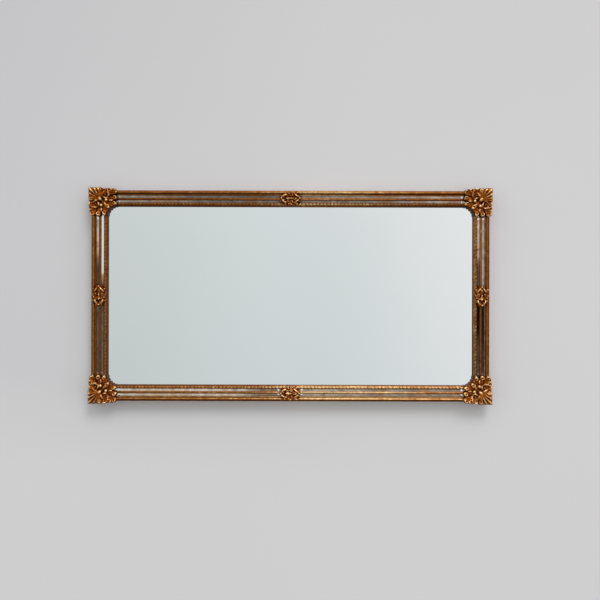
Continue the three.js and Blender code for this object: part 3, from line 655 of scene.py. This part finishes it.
def strip_tone(node, tones, places, length, a, side, rng):
    """How bright a strip's silvering is painted at a along it and at the share side across it: its
    ageing, painted reflection, painted glints and painted shadow.
    """
    low_tone, high_tone, turn_share = tones
    turned = 1 / (1 + np.exp(-(a / length - turn_share) / 0.035))
    ripple = np.sin(a / rng.uniform(5, 9) + rng.uniform(0, 6)) * np.sin(a / rng.uniform(13, 24))
    tone = (low_tone + (high_tone - low_tone) * turned) * (1 + 0.16 * ripple)
    bottom = node.startswith("bottom")
    lower = unit((0.5 - side) * 6) if bottom else 0.5
    # The glints are painted highlights and each notch a painted shadow. The bottom's glints have a
    # painted shadow over their lower half. Elsewhere each has a painted shadow line beside it, and
    # only the ones near the corners are painted bright.
    for place, lit in zip(places, (bottom, True)):
        gap = np.abs(a - place) * np.sign((a - place) * (place - length / 2))
        glint = bell(gap, GLINT_HALF)
        if bottom:
            notch = 1.2 * lower * bell(gap + 1.5, 2)
        else:
            notch = 0.6 * bell(gap - 3, 2)
        tone = tone * (1 - notch).clip(0, 1)
        shine = 1.7 + 0.8 * tone if bottom else 2 * (0.1 + 1.1 * tone)
        tone = tone + lit * shine * (1 - lower) * glint
    return tone


def make_strip(node, tones, seed):
    """A mirror strip: its CAD box with ground edges and a faintly uneven face."""
    low, high = cad_corners(node)
    size = high - low
    level = size[0] > size[2]
    length, width = size[[0, 2]] if level else size[[2, 0]]
    rng = np.random.default_rng(seed)
    half = [0, 0, STRIP_BEVEL, width * 0.3]
    across = np.array([*half, width * 0.5, *(width - c for c in half[::-1])])
    places = glint_places(node, length)
    along = strip_stations(length, places)
    sinks = [np.zeros(len(across)), np.zeros(len(along))]
    for sink in sinks:
        sink[[0, -1]] = 1
        sink[[1, -2]] = BEVEL_SINK
    sink = np.maximum(sinks[0][None, :], sinks[1][:, None])
    waves = sum(
        0.03 * rng.uniform(0.4, 1) * np.sin(along / rng.uniform(14, 70) + rng.uniform(0, 6.28))
        for _ in range(4)
    )
    y = low[1] + WAVE_ROOM + sink * (size[1] - WAVE_ROOM) + np.where(sink == 0, waves[:, None], 0)
    y = np.clip(y, low[1], high[1])
    a, c = np.meshgrid(along, across, indexing="ij")
    if level:
        points = np.stack([low[0] + a, y, low[2] + c], -1)
    else:
        points = np.stack([low[0] + width - c, y, low[2] + a], -1)
    faces = grid_faces(len(along), len(across))
    mesh = make_mesh(f"{node}_form", points.reshape(-1, 3), faces, 25)
    # Its tone paints the silvering's ageing together with painted reflection, glints and shadow.
    tone = strip_tone(node, tones, places, length, a, c / width, rng)
    set_attribute(mesh, "tone", tone.ravel())
    edge = unit(1 - np.minimum(c, width - c) / 2.6)
    edge = np.maximum(edge, unit(1 - np.minimum(a, length - a) / 5))
    set_attribute(mesh, "edge", edge.ravel())
    add_piece(f"{node}_glass", mesh, "antiqued_glass", "frame", node)


# ---- Carved relief: heights over a plane, built from leaves, ridges, curls and knobs 


class Relief:
    """A carved height field over (a, b) in millimetres, with a margin that is positive inside."""

    def __init__(self, low, high):
        self.a, self.b = np.meshgrid(
            np.arange(low[0], high[0] + RELIEF_CELL, RELIEF_CELL),
            np.arange(low[1], high[1] + RELIEF_CELL, RELIEF_CELL),
            indexing="ij",
        )
        self.height = np.full(self.a.shape, -100.0)
        self.margin = np.full(self.a.shape, -100.0)

    def lay(self, margin, height):
        inside = margin > -RELIEF_CELL
        self.height = np.where(inside, np.maximum(self.height, height), self.height)
        self.margin = np.maximum(self.margin, margin)

    def spine(self, root, bend, tip):
        """Share along a curve, and signed distance off it."""
        line = np.array(curve(root, bend, tip, SPINE_STEPS))
        best = np.full(self.a.shape, 1e9)
        share = np.zeros(self.a.shape)
        offset = np.zeros(self.a.shape)
        for i, (p, q) in enumerate(zip(line, line[1:])):
            d = q - p
            t = unit(((self.a - p[0]) * d[0] + (self.b - p[1]) * d[1]) / (d @ d))
            x = self.a - p[0] - t * d[0]
            y = self.b - p[1] - t * d[1]
            distance = np.hypot(x, y)
            nearer = distance < best
            best = np.where(nearer, distance, best)
            share = np.where(nearer, (i + t) / SPINE_STEPS, share)
            offset = np.where(nearer, np.sign(d[0] * y - d[1] * x) * distance, offset)
        return share, offset

    def leaf(self, root, tip, width, base, rise, bend=0.0):
        """An acanthus leaf: lobed edges, a sunk midrib, side veins and a raised tip."""
        root, tip = np.array(root, float), np.array(tip, float)
        line = tip - root
        normal = np.array([-line[1], line[0]])
        t, d = self.spine(root, (root + tip) / 2 + normal * bend, tip)
        swell = np.where(
            t < LEAF_BROAD,
            0.42 + 0.58 * np.sin(unit(t / LEAF_BROAD) * math.pi / 2),
            dome(((t - LEAF_BROAD) / (1 - LEAF_BROAD)) ** 2),
        )
        notch = 0.5 + 0.5 * np.cos(2 * math.pi * LEAF_LOBES * t)
        half = width / 2 * swell * (1 - 0.17 * notch * (t < 0.9))
        q = np.abs(d) / np.maximum(half, LEAST_HALF)
        cross = dome(unit(q) ** 2.6)
        lift = 0.42 + 0.5 * unit(t / 0.66) ** 1.2
        lift = lift - 0.16 * bell(t - 0.7, 0.07) + 0.16 * bell(t - 0.86, 0.1)
        vein = bell(np.abs((LEAF_LOBES * t + 0.45 * q) % 1 - 0.5) - 0.5, 0.13) * (t < 0.76)
        rib = bell(d, width * 0.085) * (t < 0.74)
        height = base + rise * lift * cross * (1 - 0.34 * vein * unit(q * 1.6))
        height = height - rise * 0.34 * rib * lift
        self.lay(half - np.abs(d), height)

    def knob(self, at, radius, base, rise):
        r = np.hypot(self.a - at[0], self.b - at[1]) / radius
        self.lay(radius * (1 - r), base + rise * dome(r**2))

    def ridge(self, start, bend, end, width, base, rise, swell=0.5, lean=0.0):
        """A round ridge along a curve, widest at the share swell and leaning to one side."""
        t, d = self.spine(start, bend, end)
        u = np.where(t < swell, t / swell, (1 - t) / (1 - swell))
        half = width / 2 * np.sqrt(np.clip(1 - (1 - unit(u)) ** 2, 0.02, 1))
        q = np.clip(d / np.maximum(half, LEAST_HALF), -1, 1)
        lift = dome(q**2) * (1 + lean * q) * (0.6 + 0.4 * unit(u))
        self.lay(half - np.abs(d), base + rise * lift)

    def oval(self, at, radii, angle, base, rise, hollow=0.0):
        """A raised oval, or with hollow above 0 an oval rim round a bowl."""
        c, s = math.cos(angle), math.sin(angle)
        x = (self.a - at[0]) * c + (self.b - at[1]) * s
        y = (self.b - at[1]) * c - (self.a - at[0]) * s
        r = np.hypot(x / radii[0], y / radii[1])
        if hollow > 0:
            lift = bell(r - 0.78, 0.16) - hollow * unit(1 - (r / 0.7) ** 2)
        else:
            lift = dome(r**2)
        self.lay(min(radii) * (1 - r), base + rise * lift)

    def curl(self, at, radius, base, rise, facing):
        """A curled tip: a C-shaped ridge round a pit, highest on the side it faces."""
        x, y = self.a - at[0], self.b - at[1]
        r = np.hypot(x, y) / radius
        side = np.cos(np.arctan2(y, x) - facing)
        self.height = np.where(r < 0.8, np.minimum(self.height, base), self.height)
        ridge = bell(r - 0.58, 0.36) * (0.7 + 0.3 * side)
        self.lay(radius * (1 - r), base + rise * ridge)

    def blurred(self, field, millimetres):
        """Two running means each way, close to a Gaussian."""
        size = max(1, int(round(millimetres / RELIEF_CELL)))
        kernel = np.ones(2 * size + 1) / (2 * size + 1)

        def mean(line):
            return np.convolve(np.pad(line, size, mode="edge"), kernel, "valid")

        for axis in (0, 1, 0, 1):
            field = np.apply_along_axis(mean, axis, field)
        return field

    def softened(self, floor, top):
        """The surface with its creases softened, kept between its floor and its top."""
        surface = np.maximum(self.height, floor + THINNEST)
        filled = np.where(self.margin > -RELIEF_CELL, surface, floor + 3)
        smooth = self.blurred(filled, RELIEF_CELL)
        return np.clip(0.3 * surface + 0.7 * smooth, floor + THINNEST, top)

    def toning_and_shade(self, surface, ground, contrast):
        """The relief attribute: how far each point stands proud of what is round it, less a
        painted shadow round the rim. It paints toning and painted shade in hollows, rubbing and
        painted highlight on crests.
        """
        level = np.where(self.margin > -RELIEF_CELL, surface, ground + 3).clip(ground, None)
        broad = self.blurred(level, 0.9) - self.blurred(level, 5.4)
        fine = surface - self.blurred(level, 1.8)
        rim = unit(1 - self.margin / RIM)
        relief = 0.43 + contrast * (1.5 * broad + 0.45 * fine) - 0.5 * rim
        relief = np.where(surface < ground - 5, relief.clip(0.2, 0.4), relief)
        return np.clip(relief, -0.3, 1)

    def mesh(self, name, underside, top, ground, contrast, place):
        """A closed mesh over its underside; place gives (x, y, z) from a, b and a height."""
        surface = self.softened(underside(self.a, self.b), top)
        relief = self.toning_and_shade(surface, ground, contrast)
        keep = self.margin > -0.5 * RELIEF_CELL
        quads = keep[:-1, :-1] & keep[1:, :-1] & keep[1:, 1:] & keep[:-1, 1:]
        ids = np.arange(keep.size).reshape(keep.shape)
        corners = np.stack([ids[:-1, :-1], ids[1:, :-1], ids[1:, 1:], ids[:-1, 1:]], -1)[quads]
        used = np.unique(corners)
        corners = np.searchsorted(used, corners)
        a, b = (field.ravel()[used] for field in self.snapped())
        upper = place(a, b, surface.ravel()[used])
        lower = place(a, b, underside(a, b))
        count = len(used)
        edges = np.concatenate([corners[:, [i, (i + 1) % 4]] for i in range(4)])
        rim = edges[~np.isin(edges @ (count, 1), edges @ (1, count))]
        walls = np.stack([rim[:, 1], rim[:, 0], rim[:, 0] + count, rim[:, 1] + count], -1)
        faces = np.concatenate([corners, corners[:, ::-1] + count, walls])
        mesh = make_mesh(name, np.concatenate([upper, lower]), faces.tolist(), 48)
        # The underside is painted dark, in painted shade.
        shade = np.concatenate([relief.ravel()[used], np.full(count, 0.12)])
        set_attribute(mesh, "relief", shade)
        return mesh

    def snapped(self):
        """Grid points near the outline moved on to it, so the outline isn't stepped."""
        slope_a, slope_b = np.gradient(self.margin, RELIEF_CELL)
        size = np.maximum(slope_a**2 + slope_b**2, 0.05)
        limit = 0.5 * RELIEF_CELL
        shift = np.where(np.abs(self.margin) < limit, -self.margin / size, 0)
        return (
            self.a + np.clip(shift * slope_a, -limit, limit),
            self.b + np.clip(shift * slope_b, -limit, limit),
        )


def dressed_height(u):
    """Height of the rail's face with its strips and bead, at u from the outer edge."""
    table = [
        (0, ROLL_SPRING),
        *roll_section(),
        (ROLL_WIDTH + STEP, ROLL_SPRING),
        (CHANNEL[0], ROLL_SPRING),
        (CHANNEL[0] + STEP, STRIP_TOP),
        (BEAD[0], STRIP_TOP),
        *bead_cap(),
        (BEAD[1], STRIP_TOP),
        (CHANNEL[1], STRIP_TOP),
        (CHANNEL[1] + STEP, CREST - CREST_CHAMFER),
        (CHANNEL[1] + CREST_CHAMFER, CREST),
        *sight_curve(),
        (RAIL_WIDTH, LIP_HEIGHT),
        (RAIL_WIDTH + STEP, RABBET_DEPTH),
    ]
    return np.interp(u, *np.array(table).T)


def corner_underside(a, b):
    u = np.minimum(a, b)
    return np.where(u < 0, ORNAMENT_UNDERSIDE, dressed_height(u) + UNDERSIDE_GAP)


def shell(relief, base, rise):
    """A fan from the shell's root to the outer corner: bold ribs over smooth flutes."""
    x, y = relief.a - SHELL_ROOT[0], relief.b - SHELL_ROOT[1]
    r = np.hypot(x, y)
    angle = np.arctan2(-y, -x) - math.pi / 4
    step = SHELL_SPREAD / (SHELL_RIBS - 1)
    phase = np.abs(angle / step - np.round(angle / step)) * 2
    square = np.maximum(np.abs(x), np.abs(y)) / np.maximum(r, 0.1)
    reach = (ORNAMENT_OVERHANG + SHELL_ROOT[0]) / np.maximum(square, 0.3)
    pointed = bell(angle, 0.16)
    outline = reach - 3.4 * phase**2 * (1 - pointed)
    span = np.clip(r / np.maximum(outline, 1), 0, 1.2)
    within = (SHELL_SPREAD / 2 + 0.1 - np.abs(angle)) * np.maximum(r, 1)
    margin = np.minimum(outline - r, within)
    crown = np.exp(-((phase * np.maximum(r, 4) * step / 2 / SHELL_RIB) ** 4))
    bold = 0.22 + 0.16 * np.cos(1.6 * angle - 0.5) + 0.1 * np.sin(4.3 * angle + 0.8)
    swept = 0.44 + 0.26 * unit(span) ** 1.5 + bold * crown * unit(span * 2)
    relief.lay(margin, base + rise * swept * dome(unit(span) ** 9))


def sight_margin(a, b):
    """Positive on the ornament's side of the rounded sight corner."""
    end = RAIL_WIDTH + SIGHT_RADIUS
    inside = np.minimum(end - a, end - b)
    return np.where(
        (a > RAIL_WIDTH - 2) & (b > RAIL_WIDTH - 2) & (inside > 0),
        np.hypot(end - a, end - b) - SIGHT_RADIUS,
        -100,
    )


def corner_relief():
    """Shell, scrolls and leaves of a corner casting, a and b in from the outer edges."""
    low, high = -ORNAMENT_OVERHANG - 2, ORNAMENT_REACH + 1
    field = Relief((low, low), (high, high))
    a, b = field.a, field.b
    # The web behind the leaves, and the spandrel that rounds off the sight corner and steps down
    # to the plate.
    within = np.minimum(np.minimum(a, b) + 5.5, 76 - np.maximum(a, b))
    web = np.where(np.minimum(a, b) > RAIL_WIDTH - 3, -5, within)
    field.lay(web, CORNER_GROUND)
    field.lay(sight_margin(a, b), SPANDREL_TOP)
    shell(field, 35.6, 10.6)
    field.oval((29, 29), (10, 6.5), math.pi / 4, 37, 7)
    rng = np.random.default_rng(11)
    for swap in (False, True):

        def at(p, q):
            """A point a little off p along the rail and q across it."""
            p, q = rng.uniform(-1.1, 1.1, 2) + (p, q)
            return (q, p) if swap else (p, q)

        hand = -1 if swap else 1
        turned = math.pi / 2 if swap else 0
        # Soft leaves along the outer edge.
        for root, tip, width in ((38, (27, -8.6), 17), (46, (46, -8.6), 19), (56, (67, -6.5), 19)):
            end = at(*tip)
            field.leaf(at(root, 16), end, width, 34.5, 8, bend=0.06 * hand)
        field.ridge(at(35, 20), at(30, 12), at(26, 1), 7.6, 36, 6.4)
        field.curl(at(60, 0), 7.2, 38, 6, turned + hand * 2.6)
        # Lobes over the roll, the bead and the inner moulding, with curled tips.
        for root, tip, curl, width, rise in (
            ((56, 12), (88, 5), (78, 2), 19, 6),
            ((58, 28), (89.4, 25.5), (80, 24.5), 18, 7),
            ((56, 42), (88, 46), (77, 45), 17, 5.4),
        ):
            field.leaf(at(*root), tip[::hand], width, 34, 7, bend=0.08 * hand)
            field.curl(at(*curl), 7.6, 38, rise, turned - hand * 0.8)
        field.ridge(at(60, 33), at(69, 38), at(75, 34), 7, 36.5, 6.6)
        # Leaves that round off the sight corner, with ribs across them.
        field.leaf(at(50, 42), (72, 56.5)[::hand], 15, 32, 6.5, bend=-0.12 * hand)
        for p, q in ((57, 46), (65, 49)):
            field.ridge(at(p, q), at(p + 2, q + 4), at(p + 6, q + 6.5), 5, 34.5, 5.6, 0.4)
        # The C-scroll: a broad leaf that curls round a bowl, a second curl and beads.
        field.oval(at(48, 18), (13, 11.5), 0, 36, 3.6, 0.4)
        field.ridge(at(31, 26), at(35, 7), at(47, 6.5), 12, 34.5, 8.6, 0.3, 0.25 * hand)
        field.ridge(at(42, 14), at(47, 14), at(51, 21), 5, 35, 6)
        field.ridge(at(52, 6), at(62, 8), at(59, 22), 8.6, 35, 7.6, 0.35)
        field.ridge(at(41, 21), at(47, 29), at(57, 24), 7.6, 35.5, 6.8)
        field.knob(at(52, 34), 6.4, 36, 7.4)
    field.leaf((38, 38), (62.5, 62.5), 19, 33.5, 10)
    field.ridge((44, 42), (50, 54), (60, 61), 8.4, 36, 6.2, 0.4)
    return field


def painted_light_copy(form, painted_light):
    """A copy of a casting whose gilding is painted lighter by the given amount, darker where it is
    negative: painted light and shade.
    """
    mesh = form.copy()
    relief = np.empty(len(mesh.vertices), np.float32)
    mesh.attributes["relief"].data.foreach_get("value", relief)
    mesh.attributes["relief"].data.foreach_set("value", relief + painted_light)
    return mesh


def make_corner_ornaments():
    def place(a, b, h):
        return np.stack([a, BACK - h, -b], -1)

    sizes = (ORNAMENT_TOP, CORNER_GROUND, CORNER_CONTRAST)
    form = corner_relief().mesh("corner_casting", corner_underside, *sizes, place)
    for name, (turn, x, z) in CORNERS.items():
        # Each corner's gilding is painted lighter or darker by its own amount: painted light and
        # shade.
        mesh = painted_light_copy(form, CORNER_PAINTED_LIGHT[name])
        at = (x * FRAME_WIDTH / 2, 0, z * FRAME_HEIGHT / 2)
        node = f"{name}_corner_ornament"
        add_piece(f"{name}_casting", mesh, "gilt_casting", "frame", node, turn, at)


def cartouche_relief():
    """A husk between paired leaves: x along the rail and u in from its outer edge."""
    half_x, half_u = CARTOUCHE_HALF
    middle = RAIL_WIDTH / 2
    field = Relief((-half_x - 1, middle - half_u - 1), (half_x + 1, middle + half_u + 1))
    x, u = field.a, field.b
    web = np.minimum(half_x * 0.86 - np.abs(x), half_u * 0.78 - np.abs(u - middle))
    field.lay(web, CARTOUCHE_GROUND)
    rng = np.random.default_rng(5)
    for way in (-1, 1):

        def at(p, q):
            """A point a little off p along the rail and q away from its middle line."""
            p, q = rng.uniform(-0.8, 0.8, 2) + (p, q)
            return (p, middle + way * q)

        # Leaves over the roll and the inner moulding.
        for root, tip, width in (
            ((6, 9), (25, 20.5), 12),
            ((-2, 9), (3, 23), 13),
            ((-9, 9), (-19, 21.5), 12),
            ((24, 5), (34.6, 9.5), 9),
            ((-22, 5), (-34.4, 10), 9),
        ):
            field.leaf(at(*root), (tip[0], middle + way * tip[1]), width, 32, 7, bend=0.1 * way)
        # Two leaves that spring from the knob at one end and open round a hollow.
        field.oval(at(15, 10), (8, 6), 0.5 * way, 33, 3, 0.4)
        field.ridge(at(32, 1), at(25, 6), at(11, 17), 8, 33, 8.8, 0.6, 0.3 * way)
        field.ridge(at(25, 1), at(18, 1.5), at(8, 6), 5, 34, 6.4)
        # Curls beside the middle.
        field.curl(at(3, 11.5), 6, 33.5, 8, -way * 0.6)
        field.curl(at(-9, 8), 5.4, 33.5, 7.4, way * 2.4)
        field.knob(at(-6, 17.5), 3.6, 34.5, 7)
        # Long leaves that meet at the other end.
        field.ridge(at(-11, 14.5), at(-22, 13), at(-33.5, 2), 7.6, 34, 9, 0.4, 0.2 * way)
        field.ridge(at(-17, 5), at(-24, 5), at(-29, 1.5), 4.4, 34, 6)
    field.leaf((14, middle), (-17, middle), 9, 33.5, 7)
    field.knob((31, middle), 4.6, 35, 8)
    field.knob((-31, middle), 4.8, 35, 8)
    field.knob((2, middle), 3.8, 35.5, 7.4)
    return field


def cartouche_form(field, hand):
    """The cartouche as carved, or with hand -1 its mirror image along the rail."""

    def underside(x, u):
        return dressed_height(u) + UNDERSIDE_GAP

    def place(x, u, h):
        return np.stack([hand * x, BACK - h, -u], -1)

    name = f"cartouche_casting_{hand}"
    sizes = (CARTOUCHE_TOP, CARTOUCHE_GROUND, CARTOUCHE_CONTRAST)
    return field.mesh(name, underside, *sizes, place)


def make_cartouches():
    field = cartouche_relief()
    forms = {hand: cartouche_form(field, hand) for hand in (-1, 1)}
    for name, (turn, _, reach) in SIDES.items():
        # Each cartouche is painted lighter or darker by its own amount and half its side's at the
        # middle: painted light and shade.
        painted_light = CARTOUCHE_PAINTED_LIGHT[name] + painted_light_along(SIDE_PAINTED_LIGHT[name], turn, 0) / 2
        mesh = painted_light_copy(forms[-1 if turn in (1, 2) else 1], painted_light)
        angle = turn * math.pi / 2
        at = (reach * math.sin(angle), 0, reach * math.cos(angle))
        node = f"{name}_cartouche"
        add_piece(f"{node}_casting", mesh, "gilt_casting", "frame", node, turn, at)


# ---- Hardware on the back ----


def make_ring(side):
    """A D-ring as one smooth wire along its CAD path."""
    node = f"{side}_hanging_ring"
    low, high = cad_corners(node)
    wire = (high[1] - low[1]) / 2
    x = (low[0] + high[0]) / 2
    y = (low[1] + high[1]) / 2
    half = (high[0] - low[0]) / 2 - wire
    top = high[2] - wire
    drop = top - low[2] - wire
    path = [(0.15, 0)]
    path += arc((half - RING_CORNER, -RING_CORNER), (RING_CORNER, RING_CORNER), math.pi / 2, 0, 8)
    path += [(half, -drop / 2)]
    path += curve((half, -drop / 2), (half, -drop), (0, -drop), 16)[1:]
    path += [(-px, pz) for px, pz in reversed(path[:-1])]
    tangent = np.gradient(np.array(path), axis=0)
    tangent /= np.linalg.norm(tangent, axis=1)[:, None]
    sides = 16
    rows = []
    for (px, pz), (tx, tz) in zip(path, tangent):
        for across, out in arc((0, 0), (wire, wire), 0, 2 * math.pi, sides):
            rows.append((x + px - tz * across, y + out, top + pz + tx * across))
    faces = grid_faces(len(path), sides + 1)
    last = len(rows) - sides - 1
    faces += [tuple(range(sides))[::-1], tuple(range(last, last + sides))]
    mesh = make_mesh(f"{side}_ring_form", rows, faces)
    add_piece(f"{side}_ring_wire", mesh, "zinc_steel", f"{side}_ring", node)


def make_bumper(side):
    """A round rubber foot with a rolled edge and a dished face."""
    node = f"{side}_bumper"
    low, high = cad_corners(node)
    radius = (high[0] - low[0]) / 2
    x, z = (low[0] + high[0]) / 2, (low[2] + high[2]) / 2
    edge = 1.6
    profile = [(0, low[1]), (radius, low[1]), (radius, high[1] - 2)]
    profile += arc((radius - edge, high[1] - edge), (edge, edge), 0.2, math.pi / 2, 7)
    profile += [(radius * 0.5, high[1]), (radius * 0.42, high[1] - 0.7), (0, high[1] - 0.9)]
    turns = 48
    rows = [
        (px, y, pz) for r, y in profile for px, pz in arc((x, z), (r, r), 0, 2 * math.pi, turns)
    ]
    mesh = make_mesh(f"{side}_bumper_form", rows, grid_faces(len(profile), turns + 1))
    add_piece(f"{side}_bumper_foot", mesh, "rubber", "frame", node)


# ---- CAD pieces that are kept, with their finishes ----


def finish_cad_pieces():
    finishes = {
        "mirror_plate": "silvered_glass",
        "back_panel": "hardboard",
        "mitre_key": "hardwood",
        "retaining_fillet": "timber",
        "panel_screw": "brass_screws",
        "strap_screw": "zinc_steel",
        "hanger_strap": "zinc_steel",
    }
    for name, node in NODES.items():
        for word, finish in finishes.items():
            if word in name:
                upright = finish == "timber" and name.startswith(("left", "right"))
                node.data.materials.clear()
                node.data.materials.append(MATERIALS["upright_timber" if upright else finish])


# ---- Stage, lights and camera ----


WALL_COLOR = (0.77, 0.758, 0.77, 1)
FLOOR_COLOR = grey(0.78)
WALL_Y, FLOOR_Z, STAGE_REACH = 0.0036, -1.3, 8.0

# The key light, which is aimed at the middle of the mirror.
KEY_AT = (5.6, -14.8, 18.0)
KEY_SIZE = 8.8
KEY_POWER = 1820

# The camera looks straight at the mirror from just right of its middle, a little tilted.
IMAGE_PIXELS = 600
METRES_PER_PIXEL = 0.003386  # at the frame's front
FRAME_FRONT = 0.031
CAMERA_AT = (0.0327, -2.6, -0.0135)
CAMERA_TILT = -0.16
SENSOR = 36


def stage_paint(n, where, color):
    """A pale surface that only the camera sees, and only from its front, with painted shade."""
    cloud = n.noise(where, 0.8, 3, 0.5)
    paint = n.mix(n.spread(cloud, 0.3, 0.7), color, tuple(c * 0.985 for c in color[:3]) + (1,))
    x, _, z = n.axes(where)
    # Painted shade: darker towards the left, except low down, and towards the top.
    lit = n.math("MAXIMUM", n.spread(x, -1.1, 0.3), n.spread(z, -0.2, -0.6))
    paint = n.times(paint, n.mix(lit, (0.9, 0.905, 0.92, 1), grey(1)))
    paint = n.times(paint, n.mix(n.spread(z, 0.1, 1.0), grey(1), grey(0.955)))
    ray = n.add("LightPath").outputs["Is Camera Ray"]
    behind = n.add("NewGeometry").outputs["Backfacing"]
    seen = n.math("MULTIPLY", ray, n.math("SUBTRACT", 1.0, behind))
    clear = n.add("BsdfTransparent").outputs[0]
    diffuse = n.add("BsdfDiffuse", {"Color": paint}).outputs[0]
    n.surface(n.add("MixShader", (seen, clear, diffuse)))


def make_stage():
    """A wall behind the mirror and a floor that runs up to it."""
    near, far = -STAGE_REACH, STAGE_REACH
    planes = {
        "wall": (WALL_COLOR, (WALL_Y, FLOOR_Z), (WALL_Y, far)),
        "floor": (FLOOR_COLOR, (near, FLOOR_Z), (WALL_Y, FLOOR_Z)),
    }
    for name, (color, front, back) in planes.items():
        corners = [(near, *front), (far, *front), (far, *back), (near, *back)]
        mesh = bpy.data.meshes.new(name)
        mesh.from_pydata(corners, [], [(0, 1, 2, 3)])
        mesh.materials.append(new_material(f"{name}_paint", stage_paint, color))
        add_object(name, mesh)


def make_world():
    """A pale studio: brighter above, darker below, with a soft sweep across its front."""
    world = bpy.data.worlds.new("studio")
    bpy.context.scene.world = world
    world.use_nodes = True
    n = Nodes(world.node_tree)
    x, _, z = n.axes(n.coordinates("Generated"))
    sweep = n.add("ValToRGB", [n.spread(x, -0.28, 0.28)])
    ramp = sweep.color_ramp
    ramp.interpolation = "EASE"
    ramp.elements.new(0.5)
    colors = rgb(201, 207, 206), rgb(211, 217, 218), rgb(229, 231, 232)
    for element, place, color in zip(ramp.elements, (0.0, 0.5, 1.0), colors):
        element.position = place
        element.color = color
    low = n.mix(n.spread(z, -0.14, 0.12), (0.93, 0.945, 0.945, 1), (1.03, 1.02, 1.02, 1))
    front = n.times(sweep.outputs["Color"], low)
    above = n.mix(n.spread(z, 0.12, 0.8), front, grey(1))
    whole = n.mix(n.spread(z, -0.75, -0.2), (0.22, 0.175, 0.13, 1), above)
    background = n.add("Background", {"Color": whole, "Strength": 1.0})
    n.surface(background, "OutputWorld")


def make_key():
    data = bpy.data.lights.new("key", "AREA")
    data.size = KEY_SIZE
    data.energy = KEY_POWER
    lamp = add_object("key", data)
    lamp.location = KEY_AT
    lamp.rotation_euler = (-Vector(KEY_AT)).to_track_quat("-Z", "Y").to_euler()


def make_camera():
    data = bpy.data.cameras.new("camera")
    data.sensor_width = SENSOR
    data.lens = SENSOR * (-CAMERA_AT[1] - FRAME_FRONT) / (IMAGE_PIXELS * METRES_PER_PIXEL)
    camera = add_object("camera", data)
    camera.location = CAMERA_AT
    camera.rotation_euler = (math.radians(90), math.radians(CAMERA_TILT), 0)
    bpy.context.scene.camera = camera


# ---- Assembly ----

for side_name, (side_turn, side_length, side_reach) in SIDES.items():
    make_rail(side_name, side_turn, side_length, side_reach)
    make_bead(side_name, side_turn, side_length, side_reach)
for index, (band_name, band_tones) in enumerate(STRIP_TONES.items()):
    for part, strip_tones in enumerate(band_tones):
        make_strip(f"{band_name}_strip_{part + 1}", strip_tones, 100 + 2 * index + part)
make_corner_ornaments()
make_cartouches()
for hand_name in ("left", "right"):
    make_ring(hand_name)
    make_bumper(hand_name)
finish_cad_pieces()
make_stage()
make_world()
make_key()
make_camera()
bpy.context.scene.view_settings.view_transform = "Standard"
